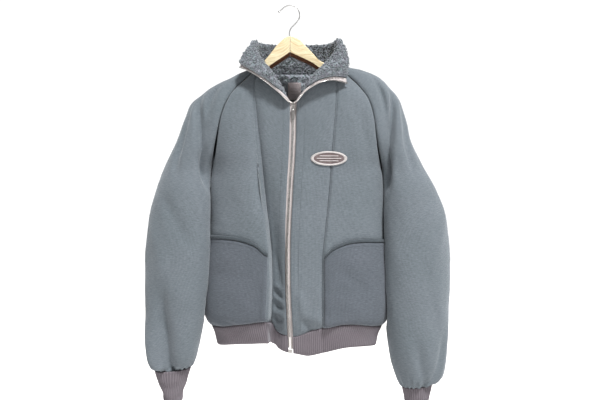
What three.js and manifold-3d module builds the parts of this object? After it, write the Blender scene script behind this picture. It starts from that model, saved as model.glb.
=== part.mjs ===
// Pile-lined zip jacket with raglan sleeves, hanging on a wooden hanger.
// Millimetres, +Z up, -Y is the front of the jacket. The origin is the inner top of the hanger's hook.
import * as THREE from "three";
import { mergeVertices } from "three/addons/utils/BufferGeometryUtils.js";
import Module from "manifold-3d";

const wasm = await Module();
wasm.setup();

// Cloth
const SHELL = 4; // knit shell with its backing
const RIB = 3.5; // rib knit of hem and cuffs
const COLLAR_SHELL = 3;
const PILE = 7; // pile on the inner face of the collar
const LINING = 5;
const SEAM = 0.5; // each piece stops this far short of its seam line
const LAYER = 0.3; // between two pieces that lie on each other

// Heights on the body
const ARM_Z = -385; // underarm
const NECK_V_Z = -238; // where the open fronts part, just above the slider
const ARM_V = 0.68; // share of a panel's height that lies below the underarm
const ARM_ROW = 8; // the sleeve row at the underarm
const PLACKET = 6; // from the zip's centre to the cloth's edge

// Zip
const TEETH_WIDTH = 2.65;
const SLIDER_Z = -254;

const { PI, sin, cos, abs, sign, min, max, exp, asin, sqrt } = Math;
const rad = (degrees) => (degrees * PI) / 180;
const mix = (a, b, k) => a + (b - a) * k;
const clamp = (v, low, high) => min(high, max(low, v));
const ease = (v, low, high) => {
  const k = clamp((v - low) / (high - low), 0, 1);
  return k * k * (3 - 2 * k);
};
const hill = (v, width) => exp(-((v / width) ** 2));
const power = (v, k) => sign(v) * abs(v) ** k;
const vec = (x, y, z) => new THREE.Vector3(x, y, z);

// A table with named columns, read as a smooth curve: at(table, column, value of its first column).
function table(names, ...rows) {
  return { names, rows };
}
function at(t, name, key) {
  const k = t.names.indexOf(name);
  const { rows } = t;
  const last = rows.length - 1;
  if (key <= rows[0][0]) return rows[0][k];
  if (key >= rows[last][0]) return rows[last][k];
  let i = 0;
  while (rows[i + 1][0] < key) i++;
  const slope = (j) => {
    const a = rows[max(j - 1, 0)];
    const b = rows[min(j + 1, last)];
    return (b[k] - a[k]) / (b[0] - a[0]);
  };
  const span = rows[i + 1][0] - rows[i][0];
  const s = (key - rows[i][0]) / span;
  const rise = rows[i + 1][k] - rows[i][k];
  const m0 = slope(i) * span;
  const m1 = slope(i + 1) * span;
  return rows[i][k] + s * (m0 + s * (3 * rise - 2 * m0 - m1 + s * (m0 + m1 - 2 * rise)));
}

// The body's level outline: its two sides, how far forward the side seams lie, and front and back depth.
const BODY = table(
  ["z", "left", "right", "side_y", "front", "back"],
  [-790, -164, 194, -18, -92, 52],
  [-745, -168, 199, -18, -97, 56],
  [-725, -178, 209, -18, -101, 61],
  [-700, -189, 219, -18, -107, 66],
  [-660, -191, 221, -18, -110, 69],
  [-600, -188, 219, -18, -110, 70],
  [-520, -184, 216, -20, -107, 68],
  [-450, -182, 213, -25, -103, 65],
  [-415, -179, 209, -29, -101, 63],
  [-385, -175, 206, -32, -99, 62],
  [-350, -175, 206, -32, -97, 61],
  [-300, -175, 206, -32, -93, 60],
  [-260, -175, 206, -32, -89, 60],
  [-238, -175, 206, -32, -86, 60],
);
// The lines that run down the fronts: zip, and the seams between centre and side panels.
const LINES = table(
  ["z", "zip", "left_seam", "right_seam"],
  [-790, 3, -36, 72],
  [-720, 0, -38, 71],
  [-650, -3.5, -36, 70],
  [-570, -4.6, -36, 71],
  [-510, -3.5, -42, 77],
  [-410, 1.5, -53, 87],
  [-340, 6, -61, 92],
  [-257, 8, -71, 99],
  [-190, 8, -76, 103],
  [-165, 8, -68, 97],
  [-143, 8, -58, 88],
);
// The shell's lower edge and the rib's lower edge along the fronts. The left front is caught up in a fold.
const HEM = table(
  ["x", "shell", "rib"],
  [-190, -728, -771],
  [-138, -721, -761],
  [-94, -713, -756],
  [-46, -704, -753],
  [-38, -712, -758],
  [-30, -731, -770],
  [-6, -738, -776],
  [12, -739, -777],
  [40, -730, -782],
  [70, -721, -777],
  [130, -714, -766],
  [189, -722, -766],
  [216, -727, -770],
);
const HEM_BACK = { shell: -727, rib: -773 };
// How full the curve from the zip round to the raglan seam is, from the neck (0) to the underarm (1).
const TURN = table(["t", "degrees"], [0, 50], [0.4, 56], [0.6, 62], [0.75, 70], [0.875, 80], [1, 90]);
const ROUND = { [-1]: 2.5, 1: 3 }; // squareness of the body's left and right half
const ROUND_BACK = 2.6;

// A sleeve's rows run from the neck (0) by the underarm (8) to the cuff. In the front view a row goes from its
// seam point to its point on the overarm line. The ellipse through them stops at seam_deg, where the raglan seam is.
const SLEEVE_COLUMNS = ["row", "seam_x", "seam_z", "over_x", "over_z", "over_y", "seam_y", "front", "back", "seam_deg"];
const SLEEVES = {
  [-1]: table(
    SLEEVE_COLUMNS,
    [0, -67, -145, -75, -139, 0, 0, 28, 28, 90],
    [1, -84, -163, -101, -152, 0, 0, 42, 38, 90],
    [2, -104, -182, -131, -166, 0, 0, 52, 46, 90],
    [3, -125, -206, -165, -182, -1, -2, 61, 52, 92],
    [4, -140, -233, -199, -203, -3, -6, 66, 56, 97],
    [5, -150, -264, -226, -229, -7, -12, 68, 58, 106],
    [6, -157, -300, -240, -268, -12, -19, 68, 60, 120],
    [7, -165, -341, -258, -321, -18, -26, 65, 60, 142],
    [8, -175, -385, -279, -368, -24, -34, 62, 58, 180],
    [9, -173, -430, -300, -426, -30, -56, 60, 56, 180],
    [10, -173, -480, -312, -482, -35, -63, 59, 55, 180],
    [11, -173, -546, -320, -551, -38, -65, 58, 54, 180],
    [12, -178, -635, -322, -642, -40, -62, 57, 53, 180],
    [13, -188, -712, -320, -719, -42, -56, 54, 50, 180],
    [14, -201, -775, -315, -783, -44, -51, 48, 44, 180],
    [15, -208, -801, -311, -809, -45, -48, 42, 38, 180],
    [16, -215, -815, -304, -822, -46, -47, 35, 32, 180],
  ),
  1: table(
    SLEEVE_COLUMNS,
    [0, 97, -142, 105, -136, 0, 0, 28, 28, 90],
    [1, 118, -159, 138, -144, 0, 0, 42, 38, 90],
    [2, 140, -179, 168, -151, 0, 0, 52, 46, 90],
    [3, 161, -204, 200, -165, -1, -2, 61, 52, 92],
    [4, 176, -232, 229, -193, -3, -6, 66, 56, 97],
    [5, 184, -264, 251, -224, -7, -12, 68, 58, 106],
    [6, 189, -303, 263, -266, -12, -19, 68, 60, 120],
    [7, 196, -343, 273, -314, -18, -26, 65, 60, 142],
    [8, 206, -385, 295, -363, -24, -34, 62, 58, 180],
    [9, 207, -433, 326, -421, -30, -54, 60, 56, 180],
    [10, 206, -482, 347, -478, -35, -61, 59, 56, 180],
    [11, 206, -550, 355, -550, -38, -63, 59, 55, 180],
    [12, 208, -640, 356, -640, -40, -61, 58, 54, 180],
    [13, 212, -715, 353, -717, -42, -56, 56, 52, 180],
    [14, 221, -784, 349, -788, -44, -51, 52, 48, 180],
    [15, 233, -832, 340, -832, -45, -48, 45, 41, 180],
    [16, 245, -859, 321, -852, -46, -47, 35, 32, 180],
  ),
};
const SLEEVE_END = 16;
const SLEEVE_ROUND = 2.15;
// Cuffs: from the sleeve's end, where they lie inside its edge, to the opening for the hand.
const CUFFS = {
  [-1]: table(
    ["k", "x", "y", "z", "half_width", "half_depth"],
    [0, -259.5, -46.5, -820.7, 40.5, 29],
    [0.3, -260, -46.5, -842, 34, 27],
    [0.6, -259.5, -46, -865, 25, 23],
    [1, -259, -46, -893, 20, 21],
  ),
  1: table(
    ["k", "x", "y", "z", "half_width", "half_depth"],
    [0, 283, -46.5, -855.3, 34, 29],
    [0.3, 282.5, -46.5, -879, 29, 27],
    [0.6, 281.5, -46, -901, 23, 23],
    [1, 280, -46, -930, 20, 21],
  ),
};
// Creases where a raglan sleeve falls from the shoulder: row and angle at both ends, depth, half-width in degrees.
const CREASES = table(
  ["from_row", "from_deg", "to_row", "to_deg", "depth", "width", "side"],
  [4.6, 38, 8.4, 158, 13, 17, 0],
  [3.6, 52, 6.1, 108, 7, 13, 0],
  [4.8, -42, 8.4, -156, 11, 18, 0],
  [3.8, -60, 6.2, -108, 6, 13, 0],
  [12.6, 66, 16, 104, 12, 20, -1],
  [11.8, -70, 14.6, -104, 7, 22, 0],
);
const CUFF_PLEATS = 7;
const CUFF_PLEAT_DEPTH = 1.8;

// The collar stands at the back of the neck and falls open at the front. u runs along the neckline from the left
// zip edge (0) by the centre back (0.5) to the right zip edge (1): a point halfway up, and one on its free edge.
const COLLAR = table(
  ["u", "mid_x", "mid_y", "mid_z", "top_x", "top_y", "top_z"],
  [0, -52, -100, -190, -108, -64, -152],
  [0.1, -69, -88, -160, -106, -56, -138],
  [0.2, -77, -50, -127, -93, -38, -107],
  [0.28, -80, -4, -108, -84, -6, -80],
  [0.34, -76, 34, -108, -76, 38, -74],
  [0.42, -36, 60, -108, -36, 66, -73],
  [0.5, 15, 66, -109, 15, 73, -71],
  [0.58, 66, 60, -108, 66, 66, -73],
  [0.66, 104, 34, -106, 103, 38, -74],
  [0.72, 110, -4, -106, 113, -6, -76],
  [0.8, 107, -50, -122, 121, -40, -103],
  [0.9, 96, -90, -156, 126, -58, -146],
  [1, 64, -104, -194, 125, -74, -188],
);

// Front panels, side -1 is the viewer's left. e runs from the zip (0) to the side or raglan seam (1), v from the
// hem (0) by the underarm (ARM_V) to the neckline (1).
const zipX = (z) => at(LINES, "zip", z);
const seamX = (side, z) => at(LINES, side < 0 ? "left_seam" : "right_seam", z);
const sideX = (side, z) => at(BODY, side < 0 ? "left" : "right", z);
const NECK_RISE = 1.45; // how early the neckline rises from the zip

// The fold beside the left front's seam: cloth dives behind the seam and bulges in front of it.
function frontFold(side, x, z) {
  const s = side * (x - seamX(side, z));
  if (side > 0) return 1.6 * hill(s, 5);
  const deep = mix(0, 17, ease(-z, 230, 640));
  const proud = mix(0, 9, ease(-z, 260, 660));
  const edge = 9;
  if (s < 0) return deep * hill(s, 26);
  return s < edge ? mix(deep, -proud, ease(s, 0, edge)) : -proud * hill(s - edge, 55);
}
function frontPoint(side, e, v) {
  const n = ROUND[side];
  const level = v <= ARM_V;
  const t = level ? 1 : 1 - (v - ARM_V) / (1 - ARM_V);
  const turn = rad(level ? 90 : at(TURN, "degrees", t));
  const psi = e * turn;
  const share = power(sin(psi), 2 / n) / power(sin(turn), 2 / n);
  const round = (1 - power(cos(psi), 2 / n)) / (1 - power(max(cos(turn), 0), 2 / n));
  let z0;
  let end;
  if (level) {
    const x = mix(zipX(-720) + side * PLACKET, sideX(side, -720), share);
    z0 = mix(at(HEM, "shell", x), ARM_Z, v / ARM_V);
    end = vec(sideX(side, z0), at(BODY, "side_y", z0), z0);
  } else {
    z0 = mix(NECK_V_Z, ARM_Z, t);
    end = sleevePoint(side, t * ARM_ROW, 1);
  }
  const z = z0 + (end.z - z0) * (1 - (1 - share) ** NECK_RISE);
  const x = mix(zipX(z0) + side * PLACKET, end.x, share);
  const front = at(BODY, "front", z0);
  return vec(x, mix(front, end.y, round) + frontFold(side, x, z) * (1 - round), z);
}
// The place between low and high where a growing function passes zero.
function solve(value, low, high) {
  for (let i = 0; i < 26; i++) {
    const middle = (low + high) / 2;
    if (value(middle) > 0) high = middle;
    else low = middle;
  }
  return (low + high) / 2;
}
// The share e at which the seam between centre and side panel, or a line beside it, crosses row v.
function seamShare(side, v, beside = 0) {
  const past = (e) => {
    const p = frontPoint(side, e, v);
    return side * (p.x - seamX(side, p.z)) - beside;
  };
  return solve(past, 0.01, 0.94);
}
// The shares of a face at a place of the front view. x grows with e times direction, z grows with v.
function locate(face, x, z, direction, low = 0) {
  const across = (v) => solve((e) => direction * (face(e, v).x - x), low, 1);
  const v = solve((w) => face(across(w), w).z - z, 0, 1);
  return [across(v), v];
}
// The back, e from the left seam (-1) to the right seam (1).
const BACK_NECK_DIP = 3;
function backPoint(e, v) {
  const side = e < 0 ? -1 : 1;
  const level = v <= ARM_V;
  const t = level ? 1 : 1 - (v - ARM_V) / (1 - ARM_V);
  const turn = rad(level ? 90 : at(TURN, "degrees", t));
  const psi = abs(e) * turn;
  const share = power(sin(psi), 2 / ROUND_BACK) / power(sin(turn), 2 / ROUND_BACK);
  const round = (1 - power(cos(psi), 2 / ROUND_BACK)) / (1 - power(max(cos(turn), 0), 2 / ROUND_BACK));
  const z = mix(HEM_BACK.shell, ARM_Z, min(v / ARM_V, 1));
  const ends = [-1, 1].map((s) =>
    level ? vec(sideX(s, z), at(BODY, "side_y", z), z) : sleevePoint(s, t * ARM_ROW, -1),
  );
  const end = side < 0 ? ends[0] : ends[1];
  const centre = ends[0].clone().add(ends[1]).multiplyScalar(0.5);
  const level_z = level ? z : centre.z - BACK_NECK_DIP * (1 - t);
  return vec(mix(centre.x, end.x, share), mix(at(BODY, "back", level_z), end.y, round), mix(level_z, end.z, share ** 2));
}
// How far out the body reaches at a place beside the sleeve.
function bodyReach(side, y, z) {
  const sideY = at(BODY, "side_y", z);
  const depth = y < sideY ? sideY - at(BODY, "front", z) : at(BODY, "back", z) - sideY;
  const n = y < sideY ? ROUND[side] : ROUND_BACK;
  const middle = y < sideY ? zipX(z) + side * PLACKET : (sideX(-1, z) + sideX(1, z)) / 2;
  const k = min(abs(y - sideY) / depth, 1);
  return mix(middle, sideX(side, z), (1 - k ** n) ** (1 / n));
}

// A sleeve's outer face. turn goes from the back seam (-1) over the top of the sleeve (0) to the front seam (1).
function sleevePoint(side, row, turn) {
  const t = SLEEVES[side];
  const get = (name) => at(t, name, row);
  const limit = rad(get("seam_deg"));
  const phi = turn * limit;
  const k = 2 / SLEEVE_ROUND;
  const share = (1 - power(cos(phi), k)) / (1 - power(cos(limit), k));
  const depth = get(phi > 0 ? "front" : "back");
  const over = vec(get("over_x"), get("over_y"), get("over_z"));
  const seam = vec(get("seam_x"), get("seam_y"), get("seam_z"));
  const p = over.clone().lerp(seam, share);
  p.y -= power(sin(phi), k) * depth;
  const centre = over.clone().add(seam).multiplyScalar(0.5);
  const out = p.clone().sub(centre).setZ(0).normalize();
  const degrees = (phi * 180) / PI;
  CREASES.rows.forEach(([r0, d0, r1, d1, deep, width, only]) => {
    if (only && only !== side) return;
    const s = (row - r0) / (r1 - r0);
    const along = ease(s, -0.25, 0.25) * (1 - ease(s, 0.85, 1.2));
    p.addScaledVector(out, -deep * along * hill(degrees - mix(d0, d1, s), width));
  });
  const pleats = CUFF_PLEAT_DEPTH * ease(row, 14.8, SLEEVE_END);
  p.addScaledVector(out, pleats * cos(CUFF_PLEATS * phi));
  return p;
}
// The same face below the underarm, where the body keeps it out.
function tubePoint(side, row, turn) {
  const p = sleevePoint(side, row, turn);
  const room = mix(1.2, 5.8, ease(ARM_Z - p.z, 0, 120)) + 3 * ease(-p.z, 600, 660);
  const nearest = bodyReach(side, p.y, p.z) + side * room;
  if (side * (p.x - nearest) < 0) p.x = nearest;
  return p;
}

// The unit normal of a face given as a function of two shares, by small steps.
function normalOf(face, a, b, low = [0, 0], high = [1, 1]) {
  const step = 2e-3;
  const near = (v, k) => clamp(v, low[k], high[k]);
  const da = face(near(a + step, 0), b).sub(face(near(a - step, 0), b));
  const db = face(a, near(b + step, 1)).sub(face(a, near(b - step, 1)));
  return da.cross(db).normalize();
}
// All normals point out of the garment.
const frontNormal = (side, e, v) =>
  normalOf((a, b) => frontPoint(side, a, b), clamp(e, 0.004, 0.995), v).multiplyScalar(side);
const backNormal = (e, v) => normalOf(backPoint, clamp(e, -0.995, 0.995), v, [-1, 0]).negate();
function sleeveNormal(side, row, turn) {
  const face = (a, b) => {
    if (row < ARM_ROW) return sleevePoint(side, b, a);
    return tubePoint(side, b, abs(a) > 1 ? a - 2 * sign(a) : a);
  };
  return normalOf(face, turn, row, [-1.01, 0], [1.01, SLEEVE_END]).multiplyScalar(side);
}
// On a raglan seam both pieces take the mean of their normals, so that their walls meet in a mitre.
function seamNormal(side, t, face) {
  const v = ARM_V + (1 - t) * (1 - ARM_V);
  const body = face > 0 ? frontNormal(side, 1, v) : backNormal(side, v);
  return body.add(sleeveNormal(side, min(t * ARM_ROW, ARM_ROW - 0.02), face * 0.995)).normalize();
}

// A wall between an outer and an inner grid of points, rows of equal length. Rows from closedFrom on are rings.
function wall(outer, inner, closedFrom = Infinity) {
  const rows = outer.length;
  const columns = outer[0].length;
  const at3 = (grid, i, j) => grid[i][j];
  const position = [];
  const quad = (a, b, c, d) => {
    for (const p of [a, b, c, a, c, d]) position.push(p.x, p.y, p.z);
  };
  for (let i = 0; i + 1 < rows; i++) {
    for (let j = 0; j + 1 < columns; j++) {
      quad(at3(outer, i, j), at3(outer, i, j + 1), at3(outer, i + 1, j + 1), at3(outer, i + 1, j));
      quad(at3(inner, i, j), at3(inner, i + 1, j), at3(inner, i + 1, j + 1), at3(inner, i, j + 1));
    }
  }
  for (let j = 0; j + 1 < columns; j++) {
    quad(inner[0][j], inner[0][j + 1], outer[0][j + 1], outer[0][j]);
    quad(outer[rows - 1][j], outer[rows - 1][j + 1], inner[rows - 1][j + 1], inner[rows - 1][j]);
  }
  const last = columns - 1;
  for (let i = 0; i + 1 < rows && i < closedFrom; i++) {
    quad(outer[i][0], outer[i + 1][0], inner[i + 1][0], inner[i][0]);
    quad(inner[i][last], inner[i + 1][last], outer[i + 1][last], outer[i][last]);
  }
  return closed(position);
}
// Merges equal points, drops faces without area, and turns the faces out.
function closed(position) {
  const soup = new THREE.BufferGeometry();
  soup.setAttribute("position", new THREE.Float32BufferAttribute(position, 3));
  const merged = mergeVertices(soup, 1e-3);
  const index = merged.index.array;
  const kept = [];
  for (let i = 0; i < index.length; i += 3) {
    const [a, b, c] = index.slice(i, i + 3);
    if (a !== b && b !== c && c !== a) kept.push(a, b, c);
  }
  merged.setIndex(kept);
  const p = merged.attributes.position;
  const corner = (i) => vec(p.getX(i), p.getY(i), p.getZ(i));
  let volume = 0;
  for (let i = 0; i < kept.length; i += 3) {
    volume += corner(kept[i]).dot(corner(kept[i + 1]).cross(corner(kept[i + 2])));
  }
  if (volume < 0) {
    for (let i = 0; i < kept.length; i += 3) [kept[i + 1], kept[i + 2]] = [kept[i + 2], kept[i + 1]];
    merged.setIndex(kept);
  }
  return merged;
}
const steps = (count, from = 0, to = 1) => Array.from({ length: count + 1 }, (_, i) => mix(from, to, i / count));
const moved = (p, n, by) => p.clone().addScaledVector(n, by);
// Outer and inner points of a face between depths top and bottom under it.
function layers(us, vs, point, normal, top, bottom) {
  const outer = vs.map((v) => us.map((u) => moved(point(u, v), normal(u, v), -top)));
  const inner = vs.map((v) => us.map((u) => moved(point(u, v), normal(u, v), -bottom)));
  return wall(outer, inner);
}
// A solid through rings of points. Its ends are closed by a fan, or by the given triangles of a ring's corners.
function loft(rings, triangles) {
  const position = [];
  const face = (a, b, c) => {
    for (const p of [a, b, c]) position.push(p.x, p.y, p.z);
  };
  const count = rings[0].length;
  rings.slice(1).forEach((ring, i) => {
    const before = rings[i];
    for (let j = 0; j < count; j++) {
      const k = (j + 1) % count;
      face(before[j], before[k], ring[k]);
      face(before[j], ring[k], ring[j]);
    }
  });
  const cap = (ring, turned) => {
    if (triangles) {
      for (const [a, b, c] of triangles) {
        if (turned) face(ring[a], ring[c], ring[b]);
        else face(ring[a], ring[b], ring[c]);
      }
      return;
    }
    const middle = ring.reduce((sum, p) => sum.add(p), vec(0, 0, 0)).divideScalar(count);
    for (let j = 0; j < count; j++) {
      const k = (j + 1) % count;
      if (turned) face(middle, ring[k], ring[j]);
      else face(middle, ring[j], ring[k]);
    }
  };
  cap(rings[0], true);
  cap(rings[rings.length - 1], false);
  return closed(position);
}
// Joins solids into one.
function joined(...geometries) {
  const solids = geometries.map((g) => {
    const position = new THREE.BufferGeometry();
    const plain = g.index ? g.toNonIndexed() : g;
    position.setAttribute("position", plain.getAttribute("position"));
    const merged = mergeVertices(position, 1e-3);
    return new wasm.Manifold(
      new wasm.Mesh({
        numProp: 3,
        vertProperties: merged.attributes.position.array,
        triVerts: new Uint32Array(merged.index.array),
      }),
    );
  });
  const made = wasm.Manifold.union(solids).getMesh();
  const geometry = new THREE.BufferGeometry();
  geometry.setAttribute("position", new THREE.BufferAttribute(made.vertProperties, 3));
  geometry.setIndex(new THREE.BufferAttribute(made.triVerts, 1));
  return geometry;
}

const cloth = (color) => new THREE.MeshStandardMaterial({ color, roughness: 0.95, metalness: 0 });
const MATERIALS = {
  knit: cloth(0x5d6a70),
  rib: cloth(0x6a6264),
  pile: cloth(0x53595e),
  tape: cloth(0xb5a49f),
  binding: cloth(0x55636a),
  badge: cloth(0xd8cfcc),
  label: cloth(0x8d8385),
  loop: cloth(0x2b2e33),
  wood: new THREE.MeshStandardMaterial({ color: 0xe8c48a, roughness: 0.45, metalness: 0 }),
  metal: new THREE.MeshStandardMaterial({ color: 0xc9c7c2, roughness: 0.3, metalness: 1 }),
};
const jacket = new THREE.Group();
function add(name, geometry, material, parent = jacket) {
  const mesh = new THREE.Mesh(geometry, material);
  mesh.name = name;
  parent.add(mesh);
  return mesh;
}
const SIDES = [
  [-1, "left"],
  [1, "right"],
];

// Fronts. Shares near a seam are taken in by SEAM.
const ARM_HEIGHTS = [0, 0.02, 0.045, 0.08, 0.13, 0.19, 0.25, 0.31, 0.37, 0.44, 0.5, 0.56, 0.62, ARM_V];
const NECK_ROWS = 9; // shared with the sleeves, so that both sides of a raglan seam have the same corners
const heights = [...ARM_HEIGHTS, ...steps(NECK_ROWS, ARM_V, 1).slice(1)];
function shortened(point, from, to, v) {
  const length = point(from, v).distanceTo(point(mix(from, to, 0.02), v)) / 0.02;
  return min(SEAM / max(length, SEAM * 4), 0.25);
}
function frontWallNormal(side, e, v) {
  const own = frontNormal(side, e, v);
  if (v < ARM_V) return own;
  const t = 1 - (v - ARM_V) / (1 - ARM_V);
  return own.lerp(seamNormal(side, t, 1), ease(e, 0.8, 1)).normalize();
}
// Where the columns lie across a panel, evenly at the neck. They are close together at the left front's fold.
const CENTRE_COLUMNS = [0, 0.35, 0.65, 0.86, 1];
const SIDE_COLUMNS = {
  [-1]: [0, 0.013, 0.03, 0.07, 0.14, 0.25, 0.38, 0.52, 0.68, 0.85, 1],
  1: [0, 0.08, 0.18, 0.3, 0.43, 0.57, 0.72, 0.86, 1],
};
for (const [side, name] of SIDES) {
  const panel = (from, to, columns) => {
    const outer = [];
    const inner = [];
    for (const v of heights) {
      const a = from(v);
      const b = to(v);
      const along = (k, w) => frontPoint(side, mix(a, b, k), w);
      const k0 = shortened(along, 0, 1, v);
      const k1 = shortened(along, 1, 0, v);
      const even = ease(v, 0.72, 0.95);
      const ks = columns.map((k, j) => mix(k, j / (columns.length - 1), even));
      const es = ks.map((k) => mix(a, b, mix(k0, 1 - k1, k)));
      outer.push(es.map((e) => frontPoint(side, e, v)));
      inner.push(es.map((e) => moved(frontPoint(side, e, v), frontWallNormal(side, e, v), -SHELL)));
    }
    return wall(outer, inner);
  };
  const middle = (v) => seamShare(side, v);
  add(`front_centre_${name}`, panel(() => 0, middle, CENTRE_COLUMNS), MATERIALS.knit);
  add(`front_side_${name}`, panel(middle, () => 1, SIDE_COLUMNS[side]), MATERIALS.knit);
}

// Back
const BACK_COLUMNS = 18;
{
  const outer = [];
  const inner = [];
  for (const v of heights) {
    const k = shortened(backPoint, 1, 0.9, v);
    const es = steps(BACK_COLUMNS, -1 + k, 1 - k);
    const t = v < ARM_V ? 1 : 1 - (v - ARM_V) / (1 - ARM_V);
    outer.push(es.map((e) => backPoint(e, v)));
    inner.push(
      es.map((e) => {
        const own = backNormal(e, v);
        if (v >= ARM_V) own.lerp(seamNormal(sign(e) || 1, t, -1), ease(abs(e), 0.8, 1)).normalize();
        return moved(backPoint(e, v), own, -SHELL);
      }),
    );
  }
  add("back", wall(outer, inner), MATERIALS.knit);
}

// Sleeves
const SLEEVE_COLUMNS_COUNT = 22;
const TUBE_ROWS = 13;
for (const [side, name] of SIDES) {
  const outer = [];
  const inner = [];
  const rows = [...steps(NECK_ROWS, 0, ARM_ROW), ...steps(TUBE_ROWS, ARM_ROW, SLEEVE_END).slice(1)];
  for (const row of rows) {
    const open = row < ARM_ROW;
    const edge = open ? 1 - SEAM / (rad(at(SLEEVES[side], "seam_deg", row)) * 50) : 1;
    const turns = steps(SLEEVE_COLUMNS_COUNT, -edge, edge);
    const points = turns.map((k) => (open ? sleevePoint : tubePoint)(side, row, k));
    const normals = turns.map((k) => {
      const own = sleeveNormal(side, row, k);
      if (!open) return own;
      return own.lerp(seamNormal(side, row / ARM_ROW, sign(k) || 1), ease(abs(k), 0.8, 1)).normalize();
    });
    if (!open) {
      const shared = normals[0].clone().add(normals[SLEEVE_COLUMNS_COUNT]).normalize();
      normals[0] = shared;
      normals[SLEEVE_COLUMNS_COUNT] = shared;
      points[SLEEVE_COLUMNS_COUNT] = points[0].clone();
    }
    outer.push(points);
    inner.push(points.map((p, j) => moved(p, normals[j], -SHELL)));
  }
  add(`sleeve_${name}`, wall(outer, inner, NECK_ROWS), MATERIALS.knit);
}

// Cuffs: a ring like the sleeve's end that narrows to the wrist
const CUFF_COLUMNS = 20;
function cuffPoint(side, k, turn) {
  const t = CUFFS[side];
  const get = (name) => at(t, name, k);
  const phi = turn * PI;
  const s = 2 / SLEEVE_ROUND;
  const p = vec(
    get("x") + side * get("half_width") * power(cos(phi), s),
    get("y") - get("half_depth") * power(sin(phi), s),
    get("z"),
  );
  const over = at(SLEEVES[side], "over_z", SLEEVE_END);
  const seam = at(SLEEVES[side], "seam_z", SLEEVE_END);
  p.z += (mix(over, seam, (1 - cos(phi)) / 2) - (over + seam) / 2) * (1 - ease(k, 0, 0.7));
  return p;
}
const cuffNormal = (side, k, turn) =>
  normalOf((a, b) => cuffPoint(side, b, a), turn, k, [-1.01, 0]).multiplyScalar(side);
for (const [side, name] of SIDES) {
  const turns = steps(CUFF_COLUMNS, -1, 1);
  const ks = steps(5);
  const ring = (offset) => ks.map((k) => turns.map((a) => moved(cuffPoint(side, k, a), cuffNormal(side, k, a), -offset)));
  const outer = ring(0);
  const inner = ring(RIB);
  for (const grid of [outer, inner]) for (const row of grid) row[CUFF_COLUMNS] = row[0].clone();
  add(`cuff_${name}`, wall(outer, inner, 0), MATERIALS.rib);
}

// Rib along the hem, from one side of the zip round the back to the other
const RIB_ROWS = 3;
{
  const front = (side, e, r) => {
    const x = frontPoint(side, e, 0).x;
    const shell = at(HEM, "shell", x);
    const low = (-ARM_V * (shell - at(HEM, "rib", x))) / (ARM_Z - shell);
    return [frontPoint(side, e, mix(-0.0016, low, r)), frontNormal(side, e, 0.004)];
  };
  const behind = (e, r) => {
    const edge = mix(at(HEM, "rib", e < 0 ? -190 : 216), HEM_BACK.rib, 1 - e ** 6);
    const low = (-ARM_V * (HEM_BACK.shell - edge)) / (ARM_Z - HEM_BACK.shell);
    return [backPoint(e, mix(-0.0016, low, r)), backNormal(e, 0.004)];
  };
  const along = (side) => {
    const middle = seamShare(side, 0);
    const columns = [
      ...CENTRE_COLUMNS.map((k) => k * middle),
      ...SIDE_COLUMNS[side].slice(1).map((k) => mix(middle, 0.995, k)),
    ];
    return columns.map((e) => (r) => front(side, e, r));
  };
  const columns = [
    ...along(-1),
    ...steps(BACK_COLUMNS, -1, 1).slice(1, -1).map((e) => (r) => behind(e, r)),
    ...along(1).reverse(),
  ];
  const grid = (depth) =>
    steps(RIB_ROWS).map((r) =>
      columns.map((column) => {
        const [p, n] = column(r);
        return moved(p, n.setZ(0).normalize(), -depth);
      }),
    );
  add("hem_rib", wall(grid(LAYER), grid(LAYER + RIB)), MATERIALS.rib);
}

// Patch pockets from the hem to a curved mouth with a bound edge
const POCKET = 3;
const POCKET_GAP = 0.45;
const MOUTH = table(
  ["x", "z"],
  [-190, -522],
  [-138, -523],
  [-105, -527],
  [-72, -538],
  [-45, -558],
  [70, -567],
  [91, -548],
  [119, -535],
  [151, -530],
  [191, -531],
  [216, -532],
);
const BAND = 0.014; // share of the height that the mouth's binding takes
for (const [side, name] of SIDES) {
  const inset = side < 0 ? 2 : 0;
  const share = (s, v) => mix(seamShare(side, v), 1, s);
  const point = (s, v) => frontPoint(side, share(s, v), v);
  const mouth = (s) =>
    solve((v) => {
      const p = point(s, v);
      return p.z - at(MOUTH, "z", p.x);
    }, 0.1, 0.6);
  const shares = SIDE_COLUMNS[side].slice(inset);
  shares[0] = max(shares[0], 0.012);
  shares[shares.length - 1] = 0.985;
  const columns = shares.map((s) => [s, mouth(s)]);
  const grid = (rows, depth) =>
    rows.map((row) =>
      columns.map(([s, top]) => {
        const v = row(top);
        return moved(point(s, v), frontNormal(side, share(s, v), v), depth);
      }),
    );
  const low = [0.006, ...ARM_HEIGHTS.slice(1, 7)].map((v) => () => v);
  const patch = (depth) => grid([...low, (top) => top - BAND - 0.002], depth);
  const edge = (depth) => grid([(top) => top - BAND, (top) => top], depth);
  add(`pocket_${name}`, wall(patch(POCKET_GAP + POCKET), patch(POCKET_GAP)), MATERIALS.knit);
  add(`pocket_band_${name}`, wall(edge(POCKET_GAP + POCKET + 1), edge(POCKET_GAP)), MATERIALS.binding);
}

// Collar
const NECK_PARTS = [0, 0.233, 0.34, 0.66, 0.767, 1]; // left front, left sleeve, back, right sleeve, right front
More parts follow.
